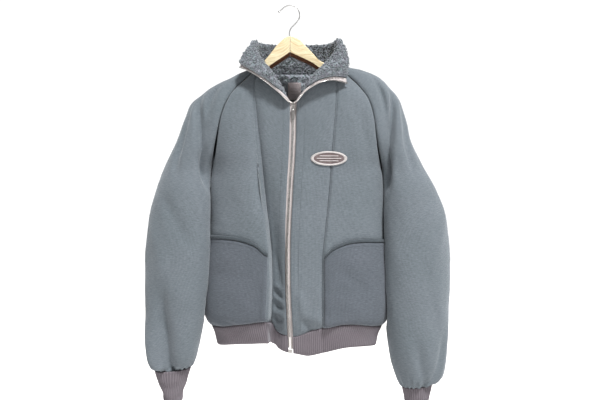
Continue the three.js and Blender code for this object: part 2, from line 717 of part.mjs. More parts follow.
// A point of the neckline, the garment's normal there, and a point further down on the garment.
function neckline(u) {
  const part = NECK_PARTS.findIndex((end, i) => i > 0 && u <= end) - 1;
  const k = (u - NECK_PARTS[part]) / (NECK_PARTS[part + 1] - NECK_PARTS[part]);
  const front = (side, e) => [frontPoint(side, e, 1), frontNormal(side, e, 0.999), frontPoint(side, e, 0.96)];
  const sleeve = (side, turn) => [
    sleevePoint(side, 0, turn),
    sleeveNormal(side, 0.01, turn),
    sleevePoint(side, 0.4, turn),
  ];
  if (part === 0) return front(-1, k);
  if (part === 1) return sleeve(-1, 1 - 2 * k);
  if (part === 2) return [backPoint(2 * k - 1, 1), backNormal(2 * k - 1, 0.999), backPoint(2 * k - 1, 0.96)];
  if (part === 3) return sleeve(1, 2 * k - 1);
  return front(1, 1 - k);
}
const PILE_GAP = 0.7;
const ROLL = 6; // how far the open flaps roll forward over the neckline
function collarPoint(u, w) {
  const [edge, normal, below] = neckline(u);
  const half = min(u, 1 - u);
  const front = 1 - ease(half, 0.15, 0.26);
  const a = moved(edge, normal, mix(-COLLAR_SHELL - 0.2, COLLAR_SHELL + 0.5, front));
  const top_of_sleeve = ease(half, 0.13, 0.2) * (1 - ease(half, 0.33, 0.38));
  a.addScaledVector(edge.clone().sub(below).normalize(), mix(2.6, 4.6, top_of_sleeve));
  const get = (name) => at(COLLAR, name, u);
  const middle = vec(get("mid_x"), get("mid_y"), get("mid_z"));
  const top = vec(get("top_x"), get("top_y"), get("top_z"));
  const p = a.multiplyScalar((1 - w) * (1 - 2 * w));
  p.addScaledVector(middle, 4 * w * (1 - w)).addScaledVector(top, w * (2 * w - 1));
  p.y -= ROLL * front * (hill(w - 0.16, 0.13) - hill(0.16, 0.13) * (1 - w));
  return p;
}
// Points from the shell side to the pile side.
const collarNormal = (u, w) => normalOf(collarPoint, u, w);
const COLLAR_US = steps(32, 0.004, 0.996);
{
  const ws = steps(6, 0.012, 1);
  const grid = (us, depth) =>
    ws.map((w) => us(w).map((u) => moved(collarPoint(u, w), collarNormal(u, w), depth(w))));
  const shell = () => COLLAR_US;
  add("collar_shell", wall(grid(shell, () => 0), grid(shell, () => -COLLAR_SHELL)), MATERIALS.knit);
  const pile = (w) => {
    const edge = mix(0.018, 0.03, w); // beside the zip's tape
    return [edge, ...COLLAR_US.slice(1, -1), 1 - edge];
  };
  const thickness = (w) => PILE_GAP + mix(3, PILE, ease(w, 0, 0.3));
  add("collar_pile", wall(grid(pile, () => PILE_GAP), grid(pile, thickness)), MATERIALS.pile);
}

// Pile lining of the upper back, with a label and a hanging loop below the collar seam
const LINING_FACE = SHELL + 0.5 + LINING;
const LINING_US = steps(14, -14 / BACK_COLUMNS, 14 / BACK_COLUMNS);
const LINING_VS = [4, 5, 6, 7, 8, 8.96].map((k) => mix(ARM_V, 1, k / NECK_ROWS));
add(
  "back_lining",
  layers(LINING_US, LINING_VS, backPoint, backNormal, SHELL + 0.5, LINING_FACE),
  MATERIALS.pile,
);
function onLining(x, z, depth) {
  const [e, v] = locate(backPoint, x, z, 1, -1);
  return moved(backPoint(e, v), backNormal(e, v), -LINING_FACE - depth);
}
{
  const label = (depth) => steps(3, -208, -167).map((z) => steps(3, -6, 25.5).map((x) => onLining(x, z, depth)));
  add("neck_label", wall(label(LAYER), label(LAYER + 1)), MATERIALS.label);
  const width = 4;
  const strip = (thickness) =>
    steps(2, 0, 1).map((r) =>
      steps(10, 0, PI).map((a) => {
        const z = -164.5 + sin(a) * 7 + (r - 0.5) * width * (1 - 0.3 * sin(a)) + 2;
        return onLining(9.7 - cos(a) * 10, z, LAYER + 3 * sin(a) + thickness);
      }),
    );
  add("neck_loop", wall(strip(0), strip(1.4)), MATERIALS.loop);
}

// Zip: each side is a tape with a raised row of teeth along its edge. It runs behind the front's edge up to the
// open neck, and then along the front edge of the collar.
const ZIP_BOTTOM = -0.055;
const ZIP_GAP = 0.35; // from the zip's centre to the teeth of one side
const TAPE_EDGE = 9;
const TEETH = 3;
const TAPE_LIFT = 0.3; // of the tape from the collar's shell
const NARROWER = 0.7; // the tape's width along the collar
const ZIP_PROFILE = table(
  ["s", "depth"], // s away from the zip's centre, depth into the jacket from the tape's outer face
  [ZIP_GAP, -TEETH + 1],
  [TEETH_WIDTH - 0.5, -TEETH + 1],
  [TEETH_WIDTH, 0],
  [TAPE_EDGE, 0],
  [TAPE_EDGE, 1],
  [ZIP_GAP, 1],
);
const ZIP_END = [
  [0, 1, 2],
  [0, 2, 5],
  [2, 3, 4],
  [2, 4, 5],
];
function zipSection(side, v) {
  const edge = frontPoint(side, 0, v);
  const behind = SHELL + 0.8;
  return ZIP_PROFILE.rows.map(([s, depth]) => {
    if (s < PLACKET) return edge.clone().add(vec(side * (s - PLACKET), behind + depth, 0));
    const e = solve((k) => side * (frontPoint(side, k, v).x - edge.x) - (s - PLACKET), 0, 0.5);
    return frontPoint(side, e, v).add(vec(0, behind + depth, 0));
  });
}
function collarZipSection(side, w) {
  const end = side < 0 ? 0 : 1;
  const edge = collarPoint(end, w);
  const normal = collarNormal(end, w);
  const along = collarPoint(end, min(w + 0.01, 1)).sub(collarPoint(end, min(w + 0.01, 1) - 0.02)).normalize();
  const into = normal.clone().cross(along).normalize();
  const inward = collarPoint(end + (side < 0 ? 0.02 : -0.02), w).sub(edge);
  if (into.dot(inward) < 0) into.negate();
  return ZIP_PROFILE.rows.map(([s, depth]) =>
    moved(edge, normal, TAPE_LIFT + depth).addScaledVector(into, (s - TAPE_EDGE) * NARROWER - 0.4),
  );
}
for (const [side, name] of SIDES) {
  // The rings lie at the panels' rows, so that the tape keeps its distance.
  const lower = [ZIP_BOTTOM, ...heights].map((v) => zipSection(side, v));
  const upper = steps(9, 0.1, 0.985).map((w) => collarZipSection(side, w));
  // From the front to the collar the section turns in small steps, above the front's edge.
  const up = frontPoint(side, 0, 1).sub(frontPoint(side, 0, 0.96)).normalize();
  const past = lower[lower.length - 1].map((p) => moved(p, up, 0.2).add(vec(-side * 0.3, -1, 0)));
  const between = [0, 0.33, 0.67].map((k) => past.map((p, j) => p.clone().lerp(upper[0][j], k)));
  const rings = [...lower, ...between, ...upper];
  add(`zip_${name}`, loft(rings, ZIP_END), MATERIALS.tape);
}

// Slider with a bridge, and the pull tab that hangs from the bridge
const PLATE = { width: 9, height: 12, depth: 2 };
const BRIDGE = { width: 2.4, inner: 1.3, outer: 2.4 };
const TAB = { width: 6.6, length: 21, thickness: 1.2, bar: 1.2, hole_width: 3.8, hole_height: 6 };
const zipFace = (z) => {
  const v = z > ARM_Z ? solve((w) => frontPoint(1, 0, w).z - z, ARM_V, 1) : ARM_V / 2;
  const p = frontPoint(1, 0, v);
  return p.y + SHELL + 0.8 - TEETH + 1;
};
const sliderX = zipX(SLIDER_Z);
const sliderFront = zipFace(SLIDER_Z) - 0.9 - PLATE.depth;
const HINGE = vec(sliderX, sliderFront - BRIDGE.inner - 0.05, SLIDER_Z + 2);
{
  const plate = new THREE.BoxGeometry(PLATE.width, PLATE.depth, PLATE.height);
  plate.translate(sliderX, sliderFront + PLATE.depth / 2, SLIDER_Z);
  const arch = new THREE.Shape();
  arch.absarc(0, 0, BRIDGE.outer, -PI / 2, PI / 2, false);
  arch.lineTo(-BRIDGE.inner - 0.6, BRIDGE.outer);
  arch.lineTo(-BRIDGE.inner - 0.6, -BRIDGE.outer);
  const hole = new THREE.Path();
  hole.absarc(0, 0, BRIDGE.inner, 0, 2 * PI, true);
  arch.holes.push(hole);
  const bridge = new THREE.ExtrudeGeometry(arch, { depth: BRIDGE.width, bevelEnabled: false, curveSegments: 8 });
  bridge.translate(0, 0, -BRIDGE.width / 2);
  const toFront = new THREE.Matrix4().makeBasis(vec(0, -1, 0), vec(0, 0, 1), vec(-1, 0, 0));
  bridge.applyMatrix4(toFront);
  bridge.translate(HINGE.x, HINGE.y, HINGE.z);
  add("zip_slider", joined(plate, bridge), MATERIALS.metal);

  const tab = new THREE.Shape();
  const half = TAB.width / 2;
  const corner = 1.6;
  const top = TAB.bar / 2;
  const low = top - TAB.length;
  tab.moveTo(-half + corner, low);
  tab.lineTo(half - corner, low);
  tab.quadraticCurveTo(half, low, half, low + corner);
  tab.lineTo(half - 0.8, top - 0.4);
  tab.lineTo(half - 1.2, top);
  tab.lineTo(-half + 1.2, top);
  tab.lineTo(-half + 0.8, top - 0.4);
  tab.lineTo(-half, low + corner);
  tab.quadraticCurveTo(-half, low, -half + corner, low);
  const slot = new THREE.Path();
  const slotHalf = TAB.hole_width / 2;
  slot.moveTo(-slotHalf, top - TAB.bar);
  slot.lineTo(slotHalf, top - TAB.bar);
  slot.lineTo(slotHalf, top - TAB.bar - TAB.hole_height);
  slot.lineTo(-slotHalf, top - TAB.bar - TAB.hole_height);
  tab.holes.push(slot);
  const pull = new THREE.ExtrudeGeometry(tab, { depth: TAB.thickness, bevelEnabled: false, curveSegments: 6 });
  pull.translate(0, 0, -TAB.thickness / 2);
  pull.rotateX(PI / 2);
  pull.translate(HINGE.x, HINGE.y, HINGE.z);
  add("zip_pull", pull, MATERIALS.metal);
}

// Box at the zip's lower end, and a stop at either upper end
{
  const foot = frontPoint(1, 0, ZIP_BOTTOM);
  const footLeft = frontPoint(-1, 0, ZIP_BOTTOM);
  const box = new THREE.BoxGeometry(8.4, 3.4, 7);
  const y = (foot.y + footLeft.y) / 2 + SHELL + LAYER - 0.6;
  box.translate((foot.x + footLeft.x) / 2, y, min(foot.z, footLeft.z) - 3.5 - LAYER);
  add("zip_box", box, MATERIALS.metal);
  for (const [side, name] of SIDES) {
    const rings = [0.99, 1].map((w) => {
      const ring = collarZipSection(side, w);
      const tooth = ring[0].clone().lerp(ring[1], 0.5);
      const across = ring[1].clone().sub(ring[0]).normalize();
      const deep = ring[5].clone().sub(ring[0]).normalize();
      return [
        [-1.2, -0.4],
        [1.2, -0.4],
        [1.2, 2.6],
        [-1.2, 2.6],
      ].map(([s, d]) => tooth.clone().addScaledVector(across, s).addScaledVector(deep, d));
    });
    const along = rings[1][0].clone().sub(rings[0][0]).normalize();
    rings[1] = rings[0].map((p) => p.clone().addScaledVector(along, 3));
    add(`zip_stop_${name}`, loft(rings), MATERIALS.metal);
  }
}

// Oval badge on the right front
const BADGE = { x: 85, z: -357, half_width: 38, half_height: 15, thickness: 1.2 };
{
  const face = (e, v) => frontPoint(1, e, v);
  const ring = (r, depth) =>
    steps(24, 0, 2 * PI).map((a) => {
      const [e, v] = locate(face, BADGE.x + BADGE.half_width * r * cos(a), BADGE.z + BADGE.half_height * r * sin(a), 1);
      return moved(frontPoint(1, e, v), frontNormal(1, e, v), depth);
    });
  const disc = (depth) => {
    const rings = [0, 0.5, 1].map((r) => ring(r, depth));
    for (const row of rings) row[24] = row[0].clone();
    return rings;
  };
  add("badge", wall(disc(LAYER + 0.3 + BADGE.thickness), disc(LAYER + 0.3), 0), MATERIALS.badge);
}

// Wooden hanger, arms sloping down from the middle, with its lower front edge cut off
const HANGER = table(
  ["x", "top", "bottom", "half_depth"],
  [-213, -228, -234, 4],
  [-204, -216, -236, 7],
  [-165, -187.7, -212, 8],
  [-131, -171.4, -196, 8],
  [-101, -157.6, -182, 8.5],
  [-73, -149, -169, 8.5],
  [-66, -141, -162, 8.8],
  [-57.5, -126.3, -155, 9],
  [-46, -112.5, -146, 9],
  [-32, -94, -136, 9],
  [-16, -78, -125.5, 9],
  [-6, -71.8, -118.8, 9],
  [0, -71.1, -114.8, 9],
  [8, -71.6, -118.4, 9],
  [20, -76.5, -124, 9],
  [34.5, -91.8, -130.5, 9],
  [52.9, -111, -140, 9],
  [66.7, -126.3, -150, 9],
  [92, -138, -162, 9],
  [105, -140.9, -165, 8.5],
  [138, -150, -174, 8],
  [168, -157, -181, 8],
  [200, -175, -199, 8],
  [216, -192, -212, 7],
  [225, -202, -208, 4],
);
{
  const rings = HANGER.rows.map(([x, top, bottom, half]) => {
    const height = top - bottom;
    const cut = min(7, height / 3);
    const round = min(2.5, height / 4);
    return [
      [-half + round, top],
      [half - round, top],
      [half, top - round],
      [half, bottom + round],
      [half - round, bottom],
      [-half + cut, bottom],
      [-half, bottom + cut],
      [-half, top - round],
    ].map(([y, z]) => vec(x, y, z));
  });
  add("hanger", loft(rings), MATERIALS.wood);
}

// Hook of round wire with a ball at its tip. Its inner top is the origin.
const WIRE = 1.5;
const HOOK = table(
  ["x", "z", "radius"],
  [-27, -16, 0.6],
  [-26.4, -15, 2.2],
  [-25, -13.6, 2.6],
  [-23.4, -12.1, 2.2],
  [-22.4, -11.2, WIRE],
  [-18, -7.2, WIRE],
  [-10, -1.2, WIRE],
  [0, WIRE, WIRE],
  [11, -1.2, WIRE],
  [19, -9, WIRE],
  [22.3, -20, WIRE],
  [19.5, -32, WIRE],
  [10, -43, WIRE],
  [2.5, -51, WIRE],
  [-1, -60, WIRE],
  [-1, -70.6, WIRE],
);
{
  const { rows } = HOOK;
  const rings = rows.map(([x, z, radius], i) => {
    const [ax, az] = rows[max(i - 1, 0)];
    const [bx, bz] = rows[min(i + 1, rows.length - 1)];
    const along = vec(bx - ax, 0, bz - az).normalize();
    const across = vec(-along.z, 0, along.x);
    return steps(12, 0, 2 * PI)
      .slice(1)
      .map((a) => vec(x, radius * sin(a), z).addScaledVector(across, radius * cos(a)));
  });
  add("hanger_hook", loft(rings), MATERIALS.metal);
}

export default jacket;
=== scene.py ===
import math

import bmesh
import bpy
import numpy as np
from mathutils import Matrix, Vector


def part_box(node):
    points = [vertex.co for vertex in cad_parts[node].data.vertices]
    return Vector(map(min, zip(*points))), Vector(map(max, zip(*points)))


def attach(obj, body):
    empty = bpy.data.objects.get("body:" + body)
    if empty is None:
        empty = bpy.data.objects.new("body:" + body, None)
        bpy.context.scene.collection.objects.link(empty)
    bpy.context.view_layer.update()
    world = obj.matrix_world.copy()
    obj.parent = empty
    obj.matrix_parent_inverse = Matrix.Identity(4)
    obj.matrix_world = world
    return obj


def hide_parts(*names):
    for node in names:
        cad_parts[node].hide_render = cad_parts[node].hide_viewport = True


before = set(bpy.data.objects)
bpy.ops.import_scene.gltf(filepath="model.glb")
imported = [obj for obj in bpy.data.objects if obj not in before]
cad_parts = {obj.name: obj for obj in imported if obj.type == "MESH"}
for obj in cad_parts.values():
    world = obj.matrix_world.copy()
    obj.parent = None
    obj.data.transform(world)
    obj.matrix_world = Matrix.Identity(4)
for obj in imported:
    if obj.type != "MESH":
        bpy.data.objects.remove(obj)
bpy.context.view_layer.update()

# The shapes are worked out in millimetres, as in the CAD part, and turned into metres when a mesh is made.
MM = 0.001
BODY_NAME = "jacket"

# Camera: level, 1.4 m in front of the hanger's plane. The image is 600 x 400.
CAMERA_AT = (0.023, -1.400, -0.446)
MM_PER_PIXEL = 2.3
DISTANCE = 1400.0

# Cloth
SHELL, RIB, COLLAR_SHELL, PILE, LINING = 4.0, 3.5, 3.0, 7.0, 5.0
LAYER, POCKET, POCKET_GAP, PILE_GAP = 0.3, 3.0, 0.45, 0.7
ARM_Z, NECK_V_Z, ARM_V, ARM_ROW = -385.0, -238.0, 0.68, 8.0
PLACKET, NECK_RISE, SLEEVE_END, SLEEVE_ROUND = 6.0, 1.45, 16.0, 2.15


def mix(a, b, k):
    return a + (b - a) * k


def ease(v, low, high):
    k = np.clip((v - low) / (high - low), 0, 1)
    return k * k * (3 - 2 * k)


def hill(v, width):
    return np.exp(-((v / width) ** 2))


def power(v, k):
    return np.sign(v) * np.abs(v) ** k


def vec(x, y, z):
    x, y, z = np.broadcast_arrays(x, y, z)
    return np.stack([x, y, z], axis=-1).astype(float)


def unit(v):
    return v / np.maximum(np.linalg.norm(v, axis=-1, keepdims=True), 1e-9)


class Table:
    """Rows with named columns, read as a smooth curve over the first column."""

    def __init__(self, names, *rows):
        self.names = names.split()
        self.rows = np.array(rows, float)

    def __call__(self, name, key):
        k = self.names.index(name)
        x, y = self.rows[:, 0], self.rows[:, k]
        n = len(x)
        key = np.clip(np.asarray(key, float), x[0], x[-1])
        i = np.clip(np.searchsorted(x, key, side="right") - 1, 0, n - 2)
        before, after = np.maximum(np.arange(n) - 1, 0), np.minimum(np.arange(n) + 1, n - 1)
        slope = (y[after] - y[before]) / (x[after] - x[before])
        span = x[i + 1] - x[i]
        s = (key - x[i]) / span
        rise = y[i + 1] - y[i]
        m0, m1 = slope[i] * span, slope[i + 1] * span
        return y[i] + s * (m0 + s * (3 * rise - 2 * m0 - m1 + s * (m0 + m1 - 2 * rise)))


BODY = Table(
    "z left right side_y front back",
    [-790, -164, 194, -18, -92, 52],
    [-745, -168, 199, -18, -97, 56],
    [-725, -178, 209, -18, -101, 61],
    [-700, -189, 219, -18, -107, 66],
    [-660, -191, 221, -18, -110, 69],
    [-600, -188, 219, -18, -110, 70],
    [-520, -184, 216, -20, -107, 68],
    [-450, -182, 213, -25, -103, 65],
    [-415, -179, 209, -29, -101, 63],
    [-385, -175, 206, -32, -99, 62],
    [-350, -175, 206, -32, -97, 61],
    [-300, -175, 206, -32, -93, 60],
    [-260, -175, 206, -32, -89, 60],
    [-238, -175, 206, -32, -86, 60],
)
LINES = Table(
    "z zip left_seam right_seam",
    [-790, 3, -36, 72],
    [-720, 0, -38, 71],
    [-650, -3.5, -36, 70],
    [-570, -4.6, -36, 71],
    [-510, -3.5, -42, 77],
    [-410, 1.5, -53, 87],
    [-340, 6, -61, 92],
    [-257, 8, -71, 99],
    [-190, 8, -76, 103],
    [-165, 8, -68, 97],
    [-143, 8, -58, 88],
)
HEM = Table(
    "x shell rib",
    [-190, -728, -771],
    [-138, -721, -761],
    [-94, -713, -756],
    [-46, -704, -753],
    [-38, -712, -758],
    [-30, -731, -770],
    [-6, -738, -776],
    [12, -739, -777],
    [40, -730, -782],
    [70, -721, -777],
    [130, -714, -766],
    [189, -722, -766],
    [216, -727, -770],
)
HEM_BACK_SHELL, HEM_BACK_RIB = -727.0, -773.0
TURN = Table("t degrees", [0, 50], [0.4, 56], [0.6, 62], [0.75, 70], [0.875, 80], [1, 90])
ROUND = {-1: 2.5, 1: 3.0}
ROUND_BACK = 2.6
SLEEVE_COLUMNS = "row seam_x seam_z over_x over_z over_y seam_y front back seam_deg"
SLEEVES = {
    -1: Table(
        SLEEVE_COLUMNS,
        [0, -67, -145, -75, -139, 0, 0, 28, 28, 90],
        [1, -84, -163, -101, -152, 0, 0, 42, 38, 90],
        [2, -104, -182, -131, -166, 0, 0, 52, 46, 90],
        [3, -125, -206, -165, -182, -1, -2, 61, 52, 92],
        [4, -140, -233, -199, -203, -3, -6, 66, 56, 97],
        [5, -150, -264, -226, -229, -7, -12, 68, 58, 106],
        [6, -157, -300, -240, -268, -12, -19, 68, 60, 120],
        [7, -165, -341, -258, -321, -18, -26, 65, 60, 142],
        [8, -175, -385, -279, -368, -24, -34, 62, 58, 180],
        [9, -173, -430, -300, -426, -30, -56, 60, 56, 180],
        [10, -173, -480, -312, -482, -35, -63, 59, 55, 180],
        [11, -173, -546, -320, -551, -38, -65, 58, 54, 180],
        [12, -178, -635, -322, -642, -40, -62, 57, 53, 180],
        [13, -188, -712, -320, -719, -42, -56, 54, 50, 180],
        [14, -201, -775, -315, -783, -44, -51, 48, 44, 180],
        [15, -208, -801, -311, -809, -45, -48, 42, 38, 180],
        [16, -215, -815, -304, -822, -46, -47, 35, 32, 180],
    ),
    1: Table(
        SLEEVE_COLUMNS,
        [0, 97, -142, 105, -136, 0, 0, 28, 28, 90],
        [1, 118, -159, 138, -144, 0, 0, 42, 38, 90],
        [2, 140, -179, 168, -151, 0, 0, 52, 46, 90],
        [3, 161, -204, 200, -165, -1, -2, 61, 52, 92],
        [4, 176, -232, 229, -193, -3, -6, 66, 56, 97],
        [5, 184, -264, 251, -224, -7, -12, 68, 58, 106],
        [6, 189, -303, 263, -266, -12, -19, 68, 60, 120],
        [7, 196, -343, 273, -314, -18, -26, 65, 60, 142],
        [8, 206, -385, 295, -363, -24, -34, 62, 58, 180],
        [9, 207, -433, 326, -421, -30, -54, 60, 56, 180],
        [10, 206, -482, 347, -478, -35, -61, 59, 56, 180],
        [11, 206, -550, 355, -550, -38, -63, 59, 55, 180],
        [12, 208, -640, 356, -640, -40, -61, 58, 54, 180],
        [13, 212, -715, 353, -717, -42, -56, 56, 52, 180],
        [14, 221, -784, 349, -788, -44, -51, 52, 48, 180],
        [15, 233, -832, 340, -832, -45, -48, 45, 41, 180],
        [16, 245, -859, 321, -852, -46, -47, 35, 32, 180],
    ),
}
CUFFS = {
    -1: Table(
        "k x y z half_width half_depth",
        [0, -259.5, -46.5, -820.7, 40.5, 29],
        [0.3, -260, -46.5, -842, 34, 27],
        [0.6, -259.5, -46, -865, 25, 23],
        [1, -259, -46, -893, 20, 21],
    ),
    1: Table(
        "k x y z half_width half_depth",
        [0, 283, -46.5, -855.3, 34, 29],
        [0.3, 282.5, -46.5, -879, 29, 27],
        [0.6, 281.5, -46, -901, 23, 23],
        [1, 280, -46, -930, 20, 21],
    ),
}
COLLAR = Table(
    "u mid_x mid_y mid_z top_x top_y top_z",
    [0, -52, -100, -190, -108, -64, -152],
    [0.1, -69, -88, -160, -106, -56, -138],
    [0.2, -77, -50, -127, -93, -38, -107],
    [0.28, -80, -4, -108, -84, -6, -80],
    [0.34, -76, 34, -108, -76, 38, -74],
    [0.42, -36, 60, -108, -36, 66, -73],
    [0.5, 15, 66, -109, 15, 73, -71],
    [0.58, 66, 60, -108, 66, 66, -73],
    [0.66, 104, 34, -106, 103, 38, -74],
    [0.72, 110, -4, -106, 113, -6, -76],
    [0.8, 107, -50, -122, 121, -40, -103],
    [0.9, 96, -90, -156, 126, -58, -146],
    [1, 64, -104, -194, 125, -74, -188],
)
NECK_PARTS = np.array([0, 0.233, 0.34, 0.66, 0.767, 1])
# How far the collar rolls out at its base, and how far its open flaps stand off the chest
ROLL, FLAP = 6.0, 5.5
MOUTH = Table(
    "x z",
    [-190, -522],
    [-138, -523],
    [-105, -527],
    [-72, -538],
    [-45, -558],
    [70, -567],
    [91, -548],
    [119, -535],
    [151, -530],
    [191, -531],
    [216, -532],
)

# Folds of the sleeves: row and angle at both ends, depth in mm, half-width in degrees, and side (0: both).
# The angle is 0 on top of the sleeve and grows towards the front seam.
SLEEVE_FOLDS = [
    (4.4, 40, 8.4, 150, 19, 13, 0),
    (3.4, 56, 6.3, 104, 12, 10, 0),
    (5.6, 22, 8.2, 74, 5, 10, 0),
    (4.8, -42, 8.4, -156, 15, 16, 0),
    (3.8, -60, 6.2, -108, 9, 12, 0),
    (12.4, 70, 16, 100, 20, 17, -1),
    (13.2, 34, 15.6, 60, -5, 16, -1),
    (11.8, -70, 14.6, -104, 9, 20, 0),
]


def zip_x(z):
    return LINES("zip", z)


def seam_x(side, z):
    return LINES("left_seam" if side < 0 else "right_seam", z)


def side_x(side, z):
    return BODY("left" if side < 0 else "right", z)


def front_fold(side, x, z):
    s = side * (x - seam_x(side, z))
    if side > 0:
        return 1.6 * hill(s, 5)
    deep = mix(0, 25, ease(-z, 230, 620))
    proud = mix(0, 10, ease(-z, 260, 640))
    edge = 9
    outside = np.where(s < edge, mix(deep, -proud, ease(s, 0, edge)), -proud * hill(s - edge, 55))
    return np.where(s < 0, deep * hill(s, 26), outside)


def panel_turn(v):
    level = v <= ARM_V
    t = np.where(level, 1.0, 1 - (v - ARM_V) / (1 - ARM_V))
    turn = np.radians(np.where(level, 90.0, TURN("degrees", t)))
    return level, t, turn


def front_point(side, e, v):
    e, v = np.broadcast_arrays(np.asarray(e, float), np.asarray(v, float))
    n = ROUND[side]
    level, t, turn = panel_turn(v)
    psi = e * turn
    share = np.clip(power(np.sin(psi), 2 / n) / power(np.sin(turn), 2 / n), 0, 1)
    bend = (1 - power(np.cos(psi), 2 / n)) / (1 - power(np.maximum(np.cos(turn), 0), 2 / n))
    hem_x = mix(zip_x(-720) + side * PLACKET, side_x(side, -720), share)
    z0 = np.where(level, mix(HEM("shell", hem_x), ARM_Z, v / ARM_V), mix(NECK_V_Z, ARM_Z, t))
    straight = vec(side_x(side, z0), BODY("side_y", z0), z0)
    end = np.where(level[..., None], straight, sleeve_point(side, t * ARM_ROW, 1.0))
    z = z0 + (end[..., 2] - z0) * (1 - (1 - share) ** NECK_RISE)
    x = mix(zip_x(z0) + side * PLACKET, end[..., 0], share)
    y = mix(BODY("front", z0), end[..., 1], bend) + front_fold(side, x, z) * (1 - bend)
    return vec(x, y, z)


def back_point(e, v):
    e, v = np.broadcast_arrays(np.asarray(e, float), np.asarray(v, float))
    level, t, turn = panel_turn(v)
    psi = np.abs(e) * turn
    k = 2 / ROUND_BACK
    share = np.clip(power(np.sin(psi), k) / power(np.sin(turn), k), 0, 1)
    bend = (1 - power(np.cos(psi), k)) / (1 - power(np.maximum(np.cos(turn), 0), k))
    z = mix(HEM_BACK_SHELL, ARM_Z, np.minimum(v / ARM_V, 1))
    ends = [
        np.where(
            level[..., None], vec(side_x(s, z), BODY("side_y", z), z), sleeve_point(s, t * ARM_ROW, -1.0)
        )
        for s in (-1, 1)
    ]
    end = np.where((e < 0)[..., None], ends[0], ends[1])
    centre = (ends[0] + ends[1]) / 2
    level_z = np.where(level, z, centre[..., 2] - 3 * (1 - t))
    return vec(
        mix(centre[..., 0], end[..., 0], share),
        mix(BODY("back", level_z), end[..., 1], bend),
        mix(level_z, end[..., 2], share**2),
    )


def body_reach(side, y, z):
    side_y = BODY("side_y", z)
    front = y < side_y
    depth = np.where(front, side_y - BODY("front", z), BODY("back", z) - side_y)
    n = np.where(front, ROUND[side], ROUND_BACK)
    middle = np.where(front, zip_x(z) + side * PLACKET, (side_x(-1, z) + side_x(1, z)) / 2)
    k = np.minimum(np.abs(y - side_y) / depth, 1)
    return mix(middle, side_x(side, z), (1 - k**n) ** (1 / n))


def folds_of(side, row, degrees, folds):
    """How far a sleeve's folds sink its cloth."""
    sink = 0 * degrees
    for r0, d0, r1, d1, deep, width, where in folds:
        if where in (0, side):
            s = (row - r0) / (r1 - r0)
            along = ease(s, -0.25, 0.25) * (1 - ease(s, 0.85, 1.2))
            sink = sink + deep * along * hill(degrees - mix(d0, d1, s), width)
    return sink


def sleeve_point(side, row, turn):
    """A point of a sleeve. turn is 0 on top, and 1 or -1 at the seam, round the front or the back."""
    row, turn = np.broadcast_arrays(np.asarray(row, float), np.asarray(turn, float))
    t = SLEEVES[side]
    limit = np.radians(t("seam_deg", row))
    phi = turn * limit
    k = 2 / SLEEVE_ROUND
    share = (1 - power(np.cos(phi), k)) / (1 - power(np.cos(limit), k))
    depth = np.where(phi > 0, t("front", row), t("back", row))
    over, seam = (vec(*(t(f"{end}_{axis}", row) for axis in "xyz")) for end in ("over", "seam"))
    p = over + (seam - over) * share[..., None]
    p[..., 1] -= power(np.sin(phi), k) * depth
    out = p - (over + seam) / 2
    out[..., 2] = 0
    return p - unit(out) * folds_of(side, row, np.degrees(phi), SLEEVE_FOLDS)[..., None]


def tube_point(side, row, turn):
    p = sleeve_point(side, row, turn)
    below = ARM_Z - p[..., 2]
    room = mix(1.2, 5.8, ease(below, 0, 120)) + 3 * ease(-p[..., 2], 600, 660)
    nearest = body_reach(side, p[..., 1], p[..., 2]) + side * room
    inside = (side * (p[..., 0] - nearest) < 0) & (np.broadcast_to(row, p.shape[:-1]) >= ARM_ROW)
    p[..., 0] = np.where(inside, nearest, p[..., 0])
    return p


def normals_of(face, a, b, low=(0, 0), high=(1, 1), step=2e-3):
    a0, a1 = np.clip(a - step, low[0], high[0]), np.clip(a + step, low[0], high[0])
    b0, b1 = np.clip(b - step, low[1], high[1]), np.clip(b + step, low[1], high[1])
    return unit(np.cross(face(a1, b) - face(a0, b), face(a, b1) - face(a, b0)))


def front_normal(side, e, v):
    e, v = np.clip(e, 0.004, 0.995), np.clip(v, 0.003, 0.997)
    return side * normals_of(lambda a, b: front_point(side, a, b), e, v)


def back_normal(e, v):
    return -normals_of(back_point, np.clip(e, -0.995, 0.995), np.clip(v, 0.003, 0.997), (-1, 0))


def sleeve_normal(side, row, turn):
    def face(a, b):
        past_seam = (np.broadcast_to(row, np.shape(a)) > ARM_ROW) & (np.abs(a) > 1)
        return tube_point(side, b, np.where(past_seam, a - 2 * np.sign(a), a))

    turn = np.broadcast_to(turn, np.broadcast_shapes(np.shape(row), np.shape(turn)))
    row = np.broadcast_to(row, turn.shape)
    turn = np.where(row <= ARM_ROW, np.clip(turn, -0.995, 0.995), turn)
    return side * normals_of(face, turn, row, (-1.01, 0), (1.01, SLEEVE_END), step=4e-3)


def seam_share(side, v, beside=0.0):
    low, high = np.full(np.shape(v), 0.01), np.full(np.shape(v), 0.94)
    for _ in range(26):
        middle = (low + high) / 2
        p = front_point(side, middle, v)
        past = side * (p[..., 0] - seam_x(side, p[..., 2])) > beside
        high = np.where(past, middle, high)
        low = np.where(past, low, middle)
    return (low + high) / 2


def locate(face, x, z, direction, low_e=0.0):
    """Shares of a face at places of the front view: x grows with e times direction, z grows with v."""
    x, z = np.broadcast_arrays(np.asarray(x, float), np.asarray(z, float))

    def across(v):
        low, high = np.full(x.shape, low_e), np.ones(x.shape)
        for _ in range(22):
            middle = (low + high) / 2
            past = direction * (face(middle, v)[..., 0] - x) > 0
            high, low = np.where(past, middle, high), np.where(past, low, middle)
        return (low + high) / 2

    low, high = np.zeros(x.shape), np.ones(x.shape)
    for _ in range(22):
        middle = (low + high) / 2
        past = face(across(middle), middle)[..., 2] > z
        high, low = np.where(past, middle, high), np.where(past, low, middle)
    v = (low + high) / 2
    return across(v), v


